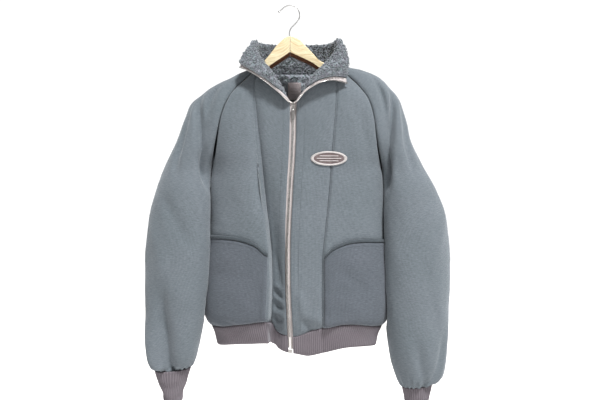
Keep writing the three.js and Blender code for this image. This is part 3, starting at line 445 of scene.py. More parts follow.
def neckline(u):
    """Points of the neckline, the garment's normals there, and points a little further down."""
    u = np.asarray(u, float)
    part = np.clip(np.searchsorted(NECK_PARTS, u, side="left") - 1, 0, 4)
    k = (u - NECK_PARTS[part]) / (NECK_PARTS[part + 1] - NECK_PARTS[part])

    def front(side, e):
        return front_point(side, e, 1.0), front_normal(side, e, 1.0), front_point(side, e, 0.96)

    def sleeve(side, turn):
        return sleeve_point(side, 0, turn), sleeve_normal(side, 0.01, turn), sleeve_point(side, 0.4, turn)

    e = 2 * k - 1
    back = back_point(e, 1.0), back_normal(e, 1.0), back_point(e, 0.96)
    found = [front(-1, k), sleeve(-1, -e), back, sleeve(1, e), front(1, 1 - k)]
    return [sum(np.where((part == i)[..., None], found[i][j], 0) for i in range(5)) for j in range(3)]


def collar_point(u, w):
    """A point of the collar: u runs along the neckline from flap to flap, w from its base to its edge."""
    u, w = np.broadcast_arrays(np.asarray(u, float), np.asarray(w, float))
    edge, normal, below = neckline(u)
    half = np.minimum(u, 1 - u)
    front = 1 - ease(half, 0.15, 0.26)
    top_of_sleeve = ease(half, 0.13, 0.2) * (1 - ease(half, 0.33, 0.38))
    base = edge + normal * mix(-COLLAR_SHELL - 0.2, COLLAR_SHELL + 0.5, front)[..., None]
    base = base + unit(edge - below) * (0.2 * (1 - top_of_sleeve))[..., None]
    middle, top = (vec(*(COLLAR(f"{part}_{axis}", u) for axis in "xyz")) for part in ("mid", "top"))
    k = w[..., None]
    p = base * (1 - k) * (1 - 2 * k) + middle * 4 * k * (1 - k) + top * k * (2 * k - 1)
    p[..., 1] -= ROLL * front * (hill(w - 0.16, 0.13) - hill(0.16, 0.13) * (1 - w))
    p[..., 1] -= FLAP * (1 - ease(half, 0.08, 0.2)) * w**2
    return p


def collar_normal(u, w):
    return normals_of(collar_point, u, w)


# Meshes


def waves(p, seed, size, amount, count=6):
    """Soft uneven swells over points, the same on each run."""
    rng = np.random.default_rng(seed)
    total = np.zeros(p.shape[:-1])
    for _ in range(count):
        direction = rng.normal(size=3)
        direction /= np.linalg.norm(direction)
        pitch = size * rng.uniform(0.7, 1.6)
        total += np.sin(p @ direction * 2 * math.pi / pitch + rng.uniform(0, 6.28))
    return amount * total / count**0.5


def lengths(grid):
    """Each point's distance along its row and along its column, in metres."""
    across = np.linalg.norm(np.diff(grid, axis=1), axis=-1)
    down = np.linalg.norm(np.diff(grid, axis=0), axis=-1).mean(axis=1)
    u = np.concatenate([np.zeros((grid.shape[0], 1)), np.cumsum(across, axis=1)], axis=1)
    v = np.concatenate([[0], np.cumsum(down)])[:, None] * np.ones((1, grid.shape[1]))
    return np.stack([u, v], axis=-1) * MM


def make_object(name, verts, faces, uvs=None, smooth=True):
    mesh = bpy.data.meshes.new(name)
    mesh.from_pydata(np.asarray(verts).tolist(), [], [list(map(int, f)) for f in faces])
    if smooth:
        mesh.polygons.foreach_set("use_smooth", [True] * len(mesh.polygons))
    if uvs is not None:
        layer = mesh.uv_layers.new(name="cloth")
        layer.data.foreach_set("uv", np.asarray(uvs, float).ravel())
    mesh.update()
    made = bpy.data.objects.new(name, mesh)
    bpy.context.collection.objects.link(made)
    return made


def wall(name, outer, inner, closed_from=10**9, uv=None):
    """A closed wall between two grids of points. Rows from closed_from on are rings, with joined ends."""
    rows, columns = outer.shape[:2]
    plain = np.arange(rows * columns).reshape(rows, columns)
    joined = plain.copy()
    first = min(closed_from, rows)
    joined[first:, -1] = joined[first:, 0]
    out = np.stack([joined, plain], axis=-1)
    back = out + rows * columns
    quads = []

    def sheet(*corners):
        quads.append(np.stack([corner.reshape(-1, 2) for corner in corners], axis=1))

    sheet(out[:-1, :-1], out[:-1, 1:], out[1:, 1:], out[1:, :-1])
    sheet(back[:-1, :-1], back[1:, :-1], back[1:, 1:], back[:-1, 1:])
    sheet(back[0, :-1], back[0, 1:], out[0, 1:], out[0, :-1])
    sheet(out[-1, :-1], out[-1, 1:], back[-1, 1:], back[-1, :-1])
    if first > 0:
        m = min(first, rows - 1)
        sheet(out[:m, 0], out[1 : m + 1, 0], back[1 : m + 1, 0], back[:m, 0])
        sheet(back[:m, -1], back[1 : m + 1, -1], out[1 : m + 1, -1], out[:m, -1])
    quads = np.concatenate(quads)
    points = np.concatenate([outer.reshape(-1, 3), inner.reshape(-1, 3)]) * MM
    a, b, c, d = (points[quads[:, i, 0]] for i in range(4))
    if (a * (np.cross(b, c) + np.cross(c, d))).sum() < 0:  # inside out
        quads = quads[:, ::-1]
    uv = (lengths(outer) if uv is None else uv).reshape(-1, 2)
    used, renamed = np.unique(quads[..., 0], return_inverse=True)
    return make_object(name, points[used], renamed.reshape(-1, 4), np.tile(uv, (2, 1))[quads[..., 1].ravel()])


def little_bodies(name, block, sides, smooth=True):
    """Many small bodies of one kind. The block holds, ring after ring, each point for all the bodies."""
    count, size = len(block[0]), len(block)
    quads = []
    for m in range(0, size - sides, sides):
        for q in range(sides):
            r = (q + 1) % sides
            quads.append((m + q, m + r, m + sides + r, m + sides + q))
    base = np.arange(count)[:, None] * size
    faces = (base[..., None] + np.array(quads)).reshape(-1, 4).tolist()
    faces += (base + np.arange(sides)[::-1]).tolist() + (base + np.arange(size - sides, size)).tolist()
    return make_object(name, np.stack(block, axis=1).reshape(-1, 3) * MM, faces, smooth=smooth)


# Materials


class Nodes:
    """Short ways to write a material's nodes."""

    def __init__(self, name, colour, roughness=0.9, metallic=0.0, sheen=0.0, specular=0.5, coat=0.0):
        self.material = bpy.data.materials.new(name)
        self.material.use_nodes = True
        self.tree = self.material.node_tree
        self.shader = self.tree.nodes["Principled BSDF"]
        for key, value in (
            ("Base Color", (*colour, 1)),
            ("Roughness", roughness),
            ("Metallic", metallic),
            ("Sheen Weight", sheen),
            ("Specular IOR Level", specular),
            ("Coat Weight", coat),
        ):
            self.shader.inputs[key].default_value = value
        if sheen:
            self.shader.inputs["Sheen Roughness"].default_value = 0.45
            self.shader.inputs["Sheen Tint"].default_value = (0.8, 0.85, 0.9, 1)

    def node(self, kind, **values):
        made = self.tree.nodes.new(kind)
        for key, value in values.items():
            if key in made.inputs:
                made.inputs[key].default_value = value
            else:
                setattr(made, key, value)
        return made

    def join(self, source, target):
        self.tree.links.new(source, target)
        return source

    def math(self, operation, a, b=None, c=None):
        made = self.node("ShaderNodeMath", operation=operation)
        for i, value in enumerate((a, b, c)):
            if value is None:
                continue
            if isinstance(value, (int, float)):
                made.inputs[i].default_value = value
            else:
                self.join(value, made.inputs[i])
        return made.outputs[0]

    def uv(self):
        made = self.node("ShaderNodeUVMap", uv_map="cloth")
        split = self.node("ShaderNodeSeparateXYZ")
        self.join(made.outputs[0], split.inputs[0])
        return split.outputs[0], split.outputs[1], made.outputs[0]


    def noise(self, scale, detail=3.0, rough=0.6, stretch=None, where=None):
        source = where or self.node("ShaderNodeTexCoord").outputs["Object"]
        if stretch:
            mapping = self.node("ShaderNodeMapping")
            mapping.inputs["Scale"].default_value = stretch
            self.join(source, mapping.inputs["Vector"])
            source = mapping.outputs[0]
        made = self.node("ShaderNodeTexNoise")
        made.inputs["Scale"].default_value = scale
        made.inputs["Detail"].default_value = detail
        made.inputs["Roughness"].default_value = rough
        self.join(source, made.inputs["Vector"])
        return made.outputs["Fac"]

    def ramp(self, value, *stops):
        made = self.node("ShaderNodeValToRGB")
        elements = made.color_ramp.elements
        while len(elements) < len(stops):
            elements.new(0.5)
        for element, (place, colour) in zip(elements, stops):
            element.position = place
            element.color = (*colour, 1)
        self.join(value, made.inputs[0])
        return made.outputs[0]

    def blend(self, a, b, factor, mode="MIX"):
        made = self.node("ShaderNodeMix", data_type="RGBA", blend_type=mode)
        for socket, value in ((made.inputs[0], factor), (made.inputs[6], a), (made.inputs[7], b)):
            if isinstance(value, (int, float)):
                socket.default_value = value
            elif isinstance(value, tuple):
                socket.default_value = (*value, 1)
            else:
                self.join(value, socket)
        return made.outputs[2]

    def tint(self, colour, value, *stops):
        """The colour times a ramp over the value."""
        return self.blend(colour, self.ramp(value, *stops), 1.0, "MULTIPLY")

    def wave(self, operation, value, pitch):
        """A wave along a length in metres, with its pitch in mm."""
        return self.math(operation, self.math("MULTIPLY", value, 2 * math.pi * 1000 / pitch))

    def bump(self, height, distance, strength=1.0, after=None):
        made = self.node("ShaderNodeBump")
        made.inputs["Strength"].default_value = strength
        made.inputs["Distance"].default_value = distance
        self.join(height, made.inputs["Height"])
        if after is not None:
            self.join(after, made.inputs["Normal"])
        return made.outputs[0]

    def finish(self, colour, normal=None, roughness=None):
        for source, name in ((colour, "Base Color"), (normal, "Normal"), (roughness, "Roughness")):
            if source is not None:
                self.join(source, self.shader.inputs[name])
        return self.material


def knit_material(name, dark, light, wale=3.0, row=2.4):
    """A thick felted knit: small V stitches in columns, with painted shade in their hollows, slubs and a
    heathered colour.
    """
    n = Nodes(name, light, 0.95, sheen=0.25, specular=0.2)
    u, v, flat = n.uv()

    def ridge(value):
        """0 in the middle of each whole step of the value, and 1 at its ends."""
        return n.math("MULTIPLY", n.math("ABSOLUTE", n.math("SUBTRACT", n.math("FRACT", value), 0.5)), 2)

    beside = ridge(n.math("MULTIPLY", u, 1000 / wale))
    along = ridge(n.math("MULTIPLY_ADD", v, 1000 / row, n.math("MULTIPLY", beside, 0.4)))
    column = n.math("MULTIPLY_ADD", n.math("MULTIPLY", beside, beside), -0.55, 1.0)
    stitch = n.math("MULTIPLY_ADD", n.math("MULTIPLY", along, along), -0.6, 1.0)
    height = n.math("MULTIPLY", column, stitch)
    slub = n.noise(1.0, 2.0, 0.6, stretch=(110, 520, 1), where=flat)
    heather = n.noise(900, 2.0, 0.7)
    # Painted shade: the colour darkens in the low parts of the stitches, where the bump sinks.
    colour = n.ramp(height, (0.1, dark), (0.85, light))
    colour = n.tint(colour, slub, (0.3, (0.78, 0.79, 0.8)), (0.72, (1.17, 1.16, 1.16)))
    colour = n.tint(colour, heather, (0.35, (0.88, 0.9, 0.9)), (0.7, (1.1, 1.08, 1.08)))
    colour = n.tint(colour, n.noise(9, 3.0, 0.5), (0.3, (0.93, 0.95, 0.95)), (0.7, (1.05, 1.04, 1.05)))
    normal = n.bump(slub, 0.0008, 0.5)
    normal = n.bump(heather, 0.0003, 0.4, normal)
    return n.finish(colour, n.bump(height, 0.0007, 0.7, normal))


def rib_material(name, dark, light, pitch):
    """Rib knit: raised wales with painted shade in the furrows between them, crossed by fine rows."""
    n = Nodes(name, light, 0.95, sheen=0.2, specular=0.2)
    u, v, _ = n.uv()
    furrow = n.math("MULTIPLY_ADD", n.wave("COSINE", u, pitch), 0.5, 0.5)
    rows = n.math("MULTIPLY_ADD", n.wave("COSINE", v, 1.7), 0.5, 0.5)
    fuzz = n.noise(1200, 2.0, 0.7)
    # Painted shade: the colour darkens in the furrows between the wales.
    colour = n.ramp(furrow, (0.0, dark), (0.55, light))
    colour = n.tint(colour, fuzz, (0.3, (0.85, 0.85, 0.86)), (0.7, (1.1, 1.1, 1.1)))
    colour = n.tint(colour, n.noise(14, 2.0, 0.5), (0.3, (0.93, 0.92, 0.93)), (0.7, (1.05, 1.05, 1.05)))
    normal = n.bump(n.math("MULTIPLY", rows, furrow), 0.0004, 0.6)
    return n.finish(colour, n.bump(fuzz, 0.0002, 0.4, normal))


def pile_material(name, dark, light):
    """Curly pile: painted shade between the curls, with a faint mauve and green fleck."""
    n = Nodes(name, light, 1.0, sheen=0.5, specular=0.1)
    curl = n.noise(420, 4.0, 0.7)
    # Painted shade: the colour darkens where the curls' bump sinks.
    colour = n.ramp(curl, (0.32, dark), (0.68, light))
    green, plain, mauve = (0.3, (0.93, 1.06, 1.0)), (0.5, (1, 1, 1)), (0.7, (1.08, 0.96, 1.06))
    colour = n.tint(colour, n.noise(160, 2.0, 0.6), green, plain, mauve)
    return n.finish(colour, n.bump(curl, 0.0016, 0.9))


def woven_material(name, dark, light, pitch=0.9):
    """A fine plain weave, with painted shade where the threads dip."""
    n = Nodes(name, light, 0.85, sheen=0.15, specular=0.3)
    u, v, _ = n.uv()
    threads = n.math("MULTIPLY", n.wave("SINE", u, pitch), n.wave("SINE", v, pitch))
    weave = n.math("MULTIPLY_ADD", threads, 0.5, 0.5)
    # Painted shade: the colour darkens where the weave's bump sinks.
    colour = n.ramp(weave, (0.1, dark), (0.8, light))
    colour = n.tint(colour, n.noise(60, 3.0, 0.6), (0.3, (0.9, 0.89, 0.89)), (0.7, (1.05, 1.05, 1.05)))
    return n.finish(colour, n.bump(weave, 0.0003, 0.6))


def thread_material(name, colour):
    n = Nodes(name, colour, 0.7, specular=0.4)
    twist = n.noise(1500, 2.0, 0.5)
    # Painted shade: the thread darkens where the twist's bump sinks.
    shade = n.ramp(twist, (0.3, tuple(c * 0.8 for c in colour)), (0.7, colour))
    return n.finish(shade, n.bump(twist, 0.0002, 0.5))


def metal_material(name, colour, roughness):
    """Worn metal with fine scratches and dull patches."""
    n = Nodes(name, colour, roughness, metallic=1.0)
    scratch = n.noise(300, 3.0, 0.6, stretch=(1, 1, 12))
    dull = n.noise(90, 3.0, 0.6)
    rough = n.node("ShaderNodeMapRange")
    n.join(dull, rough.inputs[0])
    rough.inputs["To Min"].default_value = roughness * 0.7
    rough.inputs["To Max"].default_value = roughness * 1.6
    shade = n.ramp(dull, (0.3, tuple(c * 0.82 for c in colour)), (0.7, colour))
    return n.finish(shade, n.bump(scratch, 0.00008, 0.4), rough.outputs[0])


def wood_material(name, dark, middle, light):
    """Pale varnished wood, its grain running along the hanger's arms."""
    n = Nodes(name, middle, 0.4, specular=0.4, coat=0.25)
    _, _, flat = n.uv()
    grain = n.noise(1.0, 4.0, 0.65, stretch=(14, 260, 1), where=flat)
    fine = n.noise(1.0, 2.0, 0.6, stretch=(60, 1500, 1), where=flat)
    broad = n.noise(1.0, 2.0, 0.5, stretch=(8, 30, 1), where=flat)
    colour = n.ramp(grain, (0.35, dark), (0.55, middle), (0.75, light))
    colour = n.tint(colour, fine, (0.35, (0.86, 0.82, 0.76)), (0.6, (1.02, 1.02, 1.02)))
    colour = n.tint(colour, broad, (0.35, (0.95, 0.92, 0.88)), (0.65, (1.03, 1.03, 1.03)))
    return n.finish(colour, n.bump(grain, 0.00025, 0.4))


KNIT = knit_material("knit", (0.063, 0.076, 0.085), (0.142, 0.163, 0.180))
KNIT_POCKET = knit_material("knit_pocket", (0.046, 0.054, 0.063), (0.104, 0.117, 0.135))
BINDING = knit_material("binding", (0.030, 0.038, 0.044), (0.066, 0.078, 0.087), 2.2, 1.8)
WALE = 4.6
RIB_KNIT = rib_material("rib_knit", (0.100, 0.088, 0.098), (0.136, 0.121, 0.134), WALE)
PILE_BASE = pile_material("pile_base", (0.120, 0.134, 0.150), (0.215, 0.238, 0.262))
# The back lining is the same pile as the collar's, made lighter: painted light that offsets the shade inside the
# neck.
LIT_LINING_BASE = pile_material("lining_base", (0.20, 0.225, 0.25), (0.34, 0.375, 0.41))
PILE_CURLS = pile_material("pile_curls", (0.130, 0.143, 0.157), (0.250, 0.268, 0.287))
LIT_LINING_CURLS = pile_material("lining_curls", (0.22, 0.24, 0.265), (0.38, 0.41, 0.44))
TAPE = woven_material("zip_tape", (0.31, 0.28, 0.275), (0.50, 0.465, 0.46))
TEETH_METAL = metal_material("zip_teeth", (0.86, 0.83, 0.80), 0.32)
SLIDER_METAL = metal_material("slider_metal", (0.44, 0.43, 0.42), 0.3)
WIRE_METAL = metal_material("hook_wire", (0.80, 0.80, 0.79), 0.18)
WOOD = wood_material("hanger_wood", (0.60, 0.48, 0.28), (0.79, 0.71, 0.49), (0.82, 0.76, 0.55))
# The hanger's underside: the same wood made dark, as painted shade under the arms.
WOOD_PAINTED_SHADE = wood_material("hanger_wood_painted_shade", (0.10, 0.04, 0.02), (0.15, 0.065, 0.035), (0.19, 0.09, 0.05))
LABEL = woven_material("label_weave", (0.36, 0.31, 0.32), (0.54, 0.48, 0.49), 0.7)
LOOP = woven_material("loop_weave", (0.010, 0.012, 0.015), (0.028, 0.031, 0.037), 1.0)
BADGE_EDGE = thread_material("badge_edge", (0.60, 0.57, 0.56))
BADGE_FILL = woven_material("badge_fill", (0.10, 0.075, 0.075), (0.17, 0.135, 0.135), 0.8)
THREAD = thread_material("seam_thread", (0.075, 0.088, 0.098))
PALE_THREAD = thread_material("tape_thread", (0.30, 0.26, 0.25))


# Small folds on the fronts: side, both ends in the front view, height out of the cloth and half-width, in mm.
FRONT_FOLDS = [
    (-1, -77, -215, -58, -470, -8, 12),
    (-1, -112, -300, -90, -520, 2.5, 26),
    (-1, -48, -600, -52, -705, 3, 12),
    (-1, -33, -640, -14, -658, -3.2, 5.5),
    (-1, -34, -628, -14, -640, 2.2, 5),
    (-1, -34, -668, -12, -682, -3.0, 5.5),
    (-1, -34, -655, -13, -669, 2.0, 5),
    (-1, -36, -700, -14, -709, -2.8, 6),
    (-1, -36, -688, -12, -694, 2.0, 6),
    (-1, -31, -560, -16, -640, -2.5, 6),
    (-1, -150, -705, -95, -722, -3.0, 7),
    (-1, -155, -600, -70, -625, -1.6, 22),
    (-1, -140, -560, -85, -700, 1.6, 24),
    (1, 77, -600, 72, -715, -2.4, 5),
    (1, 26, -700, 60, -742, -4.0, 9),
    (1, 45, -690, 96, -722, 3.4, 12),
    (1, 20, -640, 34, -700, 2.6, 10),
    (1, 30, -380, 26, -560, 2.2, 20),
    (1, 108, -590, 168, -650, -2.6, 16),
    (1, 150, -560, 120, -640, 2.4, 18),
    (1, 100, -650, 160, -700, 2.2, 16),
    (1, 155, -250, 178, -390, -3.5, 14),
    (-1, -150, -270, -160, -420, -3.0, 14),
    (1, 110, -190, 100, -300, -2.2, 12),
]


def segment(x, z, fold):
    _, x0, z0, x1, z1, out, width = fold
    dx, dz = x1 - x0, z1 - z0
    length = math.hypot(dx, dz)
    s = ((x - x0) * dx + (z - z0) * dz) / length**2
    d = ((x - x0) * dz - (z - z0) * dx) / length
    return out * ease(s, -0.15, 0.25) * (1 - ease(s, 0.75, 1.15)) * hill(d, width)


def front_cloth(side, e, v):
    """A front's outer face with its small folds, and its normals."""
    p, n = front_point(side, e, v), front_normal(side, e, v)
    lift = sum(segment(p[..., 0], p[..., 2], fold) for fold in FRONT_FOLDS if fold[0] == side)
    return p + n * (lift + waves(p, 11, 70, 0.5) + waves(p, 12, 26, 0.16))[..., None], n


def row_ends(p):
    steps = np.linalg.norm(np.diff(p, axis=1), axis=-1)
    along = np.concatenate([np.zeros((len(p), 1)), np.cumsum(steps, axis=1)], axis=1)
    return along, along[:, -1:] - along


def column_ends(p):
    a, b = row_ends(np.swapaxes(p, 0, 1))
    return a.T, b.T


def even(count, ends=0.6):
    """Shares from 0 to 1, closer together at the ends."""
    k = np.linspace(0, 1, count)
    return mix(k, 0.5 - 0.5 * np.cos(k * math.pi), ends)


def distances(path):
    """Each point's distance along a line of points."""
    return np.concatenate([[0], np.cumsum(np.linalg.norm(np.diff(path, axis=0), axis=-1))])


def sampled(values, along, places):
    return np.stack([np.interp(places, along, values[:, i]) for i in range(3)], axis=-1)


# Pieces with a side under this size, in metres, aren't listed as sheets
SMALLEST_SHEET = 0.0101
SHEETS, GOING = [], {}


def cloth_size(grid):
    """A face's greatest width and length, and its area, in metres."""
    across, down = row_ends(grid)[0][:, -1].max(), column_ends(grid)[0][-1].max()
    a, b, c, d = grid[:-1, :-1], grid[:-1, 1:], grid[1:, 1:], grid[1:, :-1]
    halves = np.stack([np.cross(b - a, c - a), np.cross(c - a, d - a)])
    area = np.linalg.norm(halves, axis=-1).sum() / 2
    return across * MM, down * MM, area * MM * MM


def dress(piece, material, node=None, body=BODY_NAME):
    piece.data.materials.append(material)
    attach(piece, body)
    if node:
        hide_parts(*([node] if isinstance(node, str) else node))
    return piece


def cloth(name, outer, inner, material, slot, node=None, rests_on="hanger", closed_from=10**9, uv=None):
    """A sewn piece for the node of its name. Its cut size is listed in SHEETS, with what its list in GOING
    holds.
    """
    piece = dress(wall(f"{name}_piece", outer, inner, closed_from, uv), material, node or name)
    width, length, area = cloth_size(outer)
    going = GOING[name] = []
    if min(width, length) > SMALLEST_SHEET:
        if closed_from == 0:  # a ring that is cut as a rectangle, or a disc
            width = max(width, area / length)
        SHEETS.append((piece, (width, length), min(area, width * length), [rests_on], going))
    return piece


def shell(name, outer, inner, closed_from=10**9):
    cloth(name, outer, inner, KNIT, "knit", closed_from=closed_from)


SIDES = ((-1, "left"), (1, "right"))
# How deep the cloth dips at a seam and along a lower edge, and how far the dip reaches
SEAM_DIP, SEAM_WIDTH, LOW_DIP, LOW_WIDTH = 1.7, 3.2, 2.6, 5.0


def dipped(p, n, left=0.0, right=0.0, low=0.0, high=0.0, width=SEAM_WIDTH):
    """A face pulled in along its edges, as it is at a seam."""
    a, b = row_ends(p)
    c, d = column_ends(p)
    dip = left * hill(a, width) + right * hill(b, width) + low * hill(c, LOW_WIDTH) + high * hill(d, width)
    return p - n * dip[..., None]


# Fronts, in a centre and a side panel each, with a groove at each seam
for side, side_name in SIDES:
    v = even(120, 0.25)[:, None]
    seam = seam_share(side, v)
    for part, a, b, columns, dips in (
        ("centre", 0 * v, seam, 34, (1.2, 1.5)),
        ("side", seam, 0 * v + 1, 84, (1.5, SEAM_DIP)),
    ):
        trim = 0.15 / np.linalg.norm(front_point(side, b, v) - front_point(side, a, v), axis=-1)
        p, n = front_cloth(side, mix(a, b, mix(trim, 1 - trim, even(columns)[None, :])), v)
        shell(f"front_{part}_{side_name}", dipped(p, n, *dips, low=LOW_DIP), p - n * SHELL)

# Back, hanging in long soft folds from the hanger's arms
BACK_FOLDS = [
    (0, -150, -230, -120, -640, 4, 26),
    (0, -95, -260, -105, -700, -4, 24),
    (0, -30, -330, -20, -720, 3.5, 34),
    (0, 45, -280, 60, -690, -4, 26),
    (0, 120, -240, 105, -660, 4, 24),
    (0, 175, -260, 150, -600, -3, 20),
    (0, -120, -250, 120, -262, -2.5, 18),
]
v = even(120, 0.25)[:, None]
e = mix(-1, 1, even(110, 0.4))[None, :] * 0.998
p, n = back_point(e, v), back_normal(e, v)
lift = sum(segment(p[..., 0], p[..., 2], fold) for fold in BACK_FOLDS)
p = p + n * (lift + waves(p, 21, 90, 0.8) + waves(p, 22, 26, 0.16))[..., None]
shell("back", dipped(p, n, SEAM_DIP, SEAM_DIP, low=LOW_DIP), p - n * SHELL)

# Sleeves, one row of points for each ring. Folds: row and angle at both ends, depth, half-width, side.
SLEEVE_CREASES = [
    (4.2, 15, 7.6, 60, 5, 9, -1),
    (5.4, 92, 8.6, 128, -4, 10, 0),
    (5.2, 25, 8.0, 78, 4, 10, 1),
    (9.2, 62, 11.0, 118, 3.5, 14, 0),
    (10.2, 40, 12.2, 96, -3, 14, 0),
    (10.8, 96, 13.2, 60, 3, 12, 0),
    (13.2, 40, 15.6, 70, 5, 10, 1),
    (13.6, 96, 15.8, 84, 5, 9, 1),
    (13.0, 30, 15.6, 52, -3, 12, 0),
    (13.4, -30, 15.8, -52, 5, 12, 0),
    (12.8, -96, 15.6, -80, 4, 12, 0),
    (9.4, -60, 12, -110, 4, 16, 0),
    (6.2, -30, 9.4, -66, 3.5, 14, 0),
]
for side, side_name in SIDES:
    row = np.concatenate([np.linspace(0, ARM_ROW, 60), np.linspace(ARM_ROW, SLEEVE_END, 110)[1:]])[:, None]
    open_rows = row[:, 0] < ARM_ROW
    turn = np.linspace(-1, 1, 141)[None, :] * np.where(row < ARM_ROW, 0.9985, 1.0)
    p, n = tube_point(side, row, turn), sleeve_normal(side, row, turn)
    shared = unit(n[:, 0] + n[:, -1])
    n[~open_rows, 0] = n[~open_rows, -1] = shared[~open_rows]
    degrees = np.degrees(turn * np.radians(SLEEVES[side]("seam_deg", row)))
    sink = folds_of(side, row, degrees, SLEEVE_CREASES)
    around = np.radians(degrees)
    gathers = 2.2 * ease(row, 14.6, 16) * np.cos(around * 17 + 2 * np.sin(3 * around))
    lift = waves(p, 31, 60, 0.7) + waves(p, 32, 24, 0.16) - sink + gathers
    lift[:, 0] = lift[:, -1] = np.where(open_rows, (lift[:, 0] + lift[:, -1]) / 2, lift[:, 0])
    p = p + n * lift[..., None]
    p[~open_rows, -1] = p[~open_rows, 0]
    a, b = row_ends(p)
    seam = np.where(row < ARM_ROW, SEAM_DIP, 1.1 * ease(-row, -SLEEVE_END, -ARM_ROW) + 0.9)
    dip = seam * (hill(a, SEAM_WIDTH) + hill(b, SEAM_WIDTH)) + 3.2 * hill(column_ends(p)[1], LOW_WIDTH)
    shell(f"sleeve_{side_name}", p - n * dip[..., None], p - n * SHELL, int(open_rows.sum()))

# Ribbed cuffs and hem. The wales are real, and the material's furrows, darkened with painted shade, lie between
# them.
WALE_POINTS = 6


def rib_uv(grid, wales):
    along = np.linspace(0, wales * WALE, grid.shape[1])[None, :] * np.ones((len(grid), 1))
    return np.stack([along * MM, lengths(grid)[..., 1]], axis=-1)


def cuff_point(side, k, turn):
    k, turn = np.broadcast_arrays(np.asarray(k, float), np.asarray(turn, float))
    t, s, phi = CUFFS[side], 2 / SLEEVE_ROUND, turn * math.pi
    p = vec(
        t("x", k) + side * t("half_width", k) * power(np.cos(phi), s),
        t("y", k) - t("half_depth", k) * power(np.sin(phi), s),
        t("z", k),
    )
    over, seam = SLEEVES[side]("over_z", SLEEVE_END), SLEEVES[side]("seam_z", SLEEVE_END)
    p[..., 2] += (mix(over, seam, (1 - np.cos(phi)) / 2) - (over + seam) / 2) * (1 - ease(k, 0, 0.7))
    return p


for side, side_name in SIDES:
    wales = 40
    turn = np.linspace(-1, 1, wales * WALE_POINTS + 1)[None, :]
    k = np.linspace(0, 1, 26)[:, None]
    p = cuff_point(side, k, turn)
    n = side * normals_of(
        lambda a, b: cuff_point(side, b, a), turn + 0 * k, k + 0 * turn, (-1.01, 0), (1.01, 1)
    )
    n[:, 0] = n[:, -1] = unit(n[:, 0] + n[:, -1])
    p[:, -1] = p[:, 0]
    ridge = 0.55 * np.cos(np.linspace(0, wales, turn.size) * 2 * math.pi)[None, :]
    sag = 1.0 * ease(k, 0.05, 0.5) * np.sin(k * 13 + 2 * np.cos(turn * math.pi * 2)) * (1 - ease(k, 0.8, 1))
    round_end = 1.4 * hill((1 - k) * 74, 2.5)
    outer = p + n * (ridge + sag - round_end - 0.6)[..., None]
    inner = p + n * (sag - RIB)[..., None]
    outer[:, -1], inner[:, -1] = outer[:, 0], inner[:, 0]
    cloth(
        f"cuff_{side_name}", outer, inner, RIB_KNIT, "rib",
        rests_on=f"sleeve_{side_name}", closed_from=0, uv=rib_uv(outer, wales),
    )

HEM_DROP = 0.0005


def hem_front(side, e, r):
    x = front_point(side, e, 0)[..., 0]
    top = HEM("shell", x)
    low = -ARM_V * (top - HEM("rib", x)) / (ARM_Z - top)
    return front_point(side, e, mix(-HEM_DROP, low, r)), front_normal(side, e, 0 * e + 0.004)


def hem_back(e, r):
    edge = mix(np.where(e < 0, HEM("rib", -190), HEM("rib", 216)), HEM_BACK_RIB, 1 - e**6)
    low = -ARM_V * (HEM_BACK_SHELL - edge) / (ARM_Z - HEM_BACK_SHELL)
    return back_point(e, mix(-HEM_DROP, low, r)), back_normal(e, 0 * e + 0.004)


def hem_point(t, r):
    """t runs from the zip's left side (0) round the back (1 to 2) to its right side (3)."""
    t, r = np.broadcast_arrays(np.asarray(t, float), np.asarray(r, float))
    left, behind, right = (
        hem_front(-1, np.clip(t, 0, 1) * 0.997, r),
        hem_back(np.clip(2 * (t - 1) - 1, -1, 1), r),
        hem_front(1, np.clip(3 - t, 0, 1) * 0.997, r),
    )
    at_left, at_right = (t < 1)[..., None], (t > 2)[..., None]
    p = np.where(at_left, left[0], np.where(at_right, right[0], behind[0]))
    n = np.where(at_left, left[1], np.where(at_right, right[1], behind[1]))
    n[..., 2] = 0
    return p, unit(n)


t = np.linspace(0, 3, 900)
along = distances(hem_point(t, 0.5)[0])
wales = int(along[-1] / WALE)
place = np.linspace(0, along[-1], wales * 5 + 1)
r = np.linspace(0, 1, 12)[:, None]
p, n = hem_point(np.interp(place, along, t)[None, :], r)
for _ in range(12):
    n[:, 1:-1] = unit(n[:, :-2] + n[:, 1:-1] * 2 + n[:, 2:])
ridge = 0.5 * np.cos(place / place[-1] * wales * 2 * math.pi)[None, :]
puff = np.sin(r * math.pi) * (1.2 * waves(p, 41, 55, 1.0) + 1.5)
taper = 1.6 * hill((1 - r) * 45, 2.5) + 1.2 * hill(np.minimum(place, place[-1] - place)[None, :], 2.5)
outer = p + n * (ridge + puff - taper - 1.3)[..., None]
inner = p + n * (puff - LAYER - RIB - 0.6)[..., None]
cloth("hem_rib", outer, inner, RIB_KNIT, "rib", rests_on="back", uv=rib_uv(outer, wales))
# Patch pockets with a bound mouth. They lie on the fronts and bulge a little.
# BAND is the binding's height as a share of the front's, POCKET_BULGE how far a pocket stands out in its middle.
BAND, POCKET_BULGE = 0.014, 2.2


def pocket_point(side, s, v):
    share = mix(seam_share(side, v), 1, s)
    return front_cloth(side, share, v)


def mouth(side, s):
    low, high = np.full(s.shape, 0.1), np.full(s.shape, 0.6)
    for _ in range(24):
        middle = (low + high) / 2
        p = front_point(side, mix(seam_share(side, middle), 1, s), middle)
        past = p[..., 2] - MOUTH("z", p[..., 0]) > 0
        high, low = np.where(past, middle, high), np.where(past, low, middle)
    return (low + high) / 2


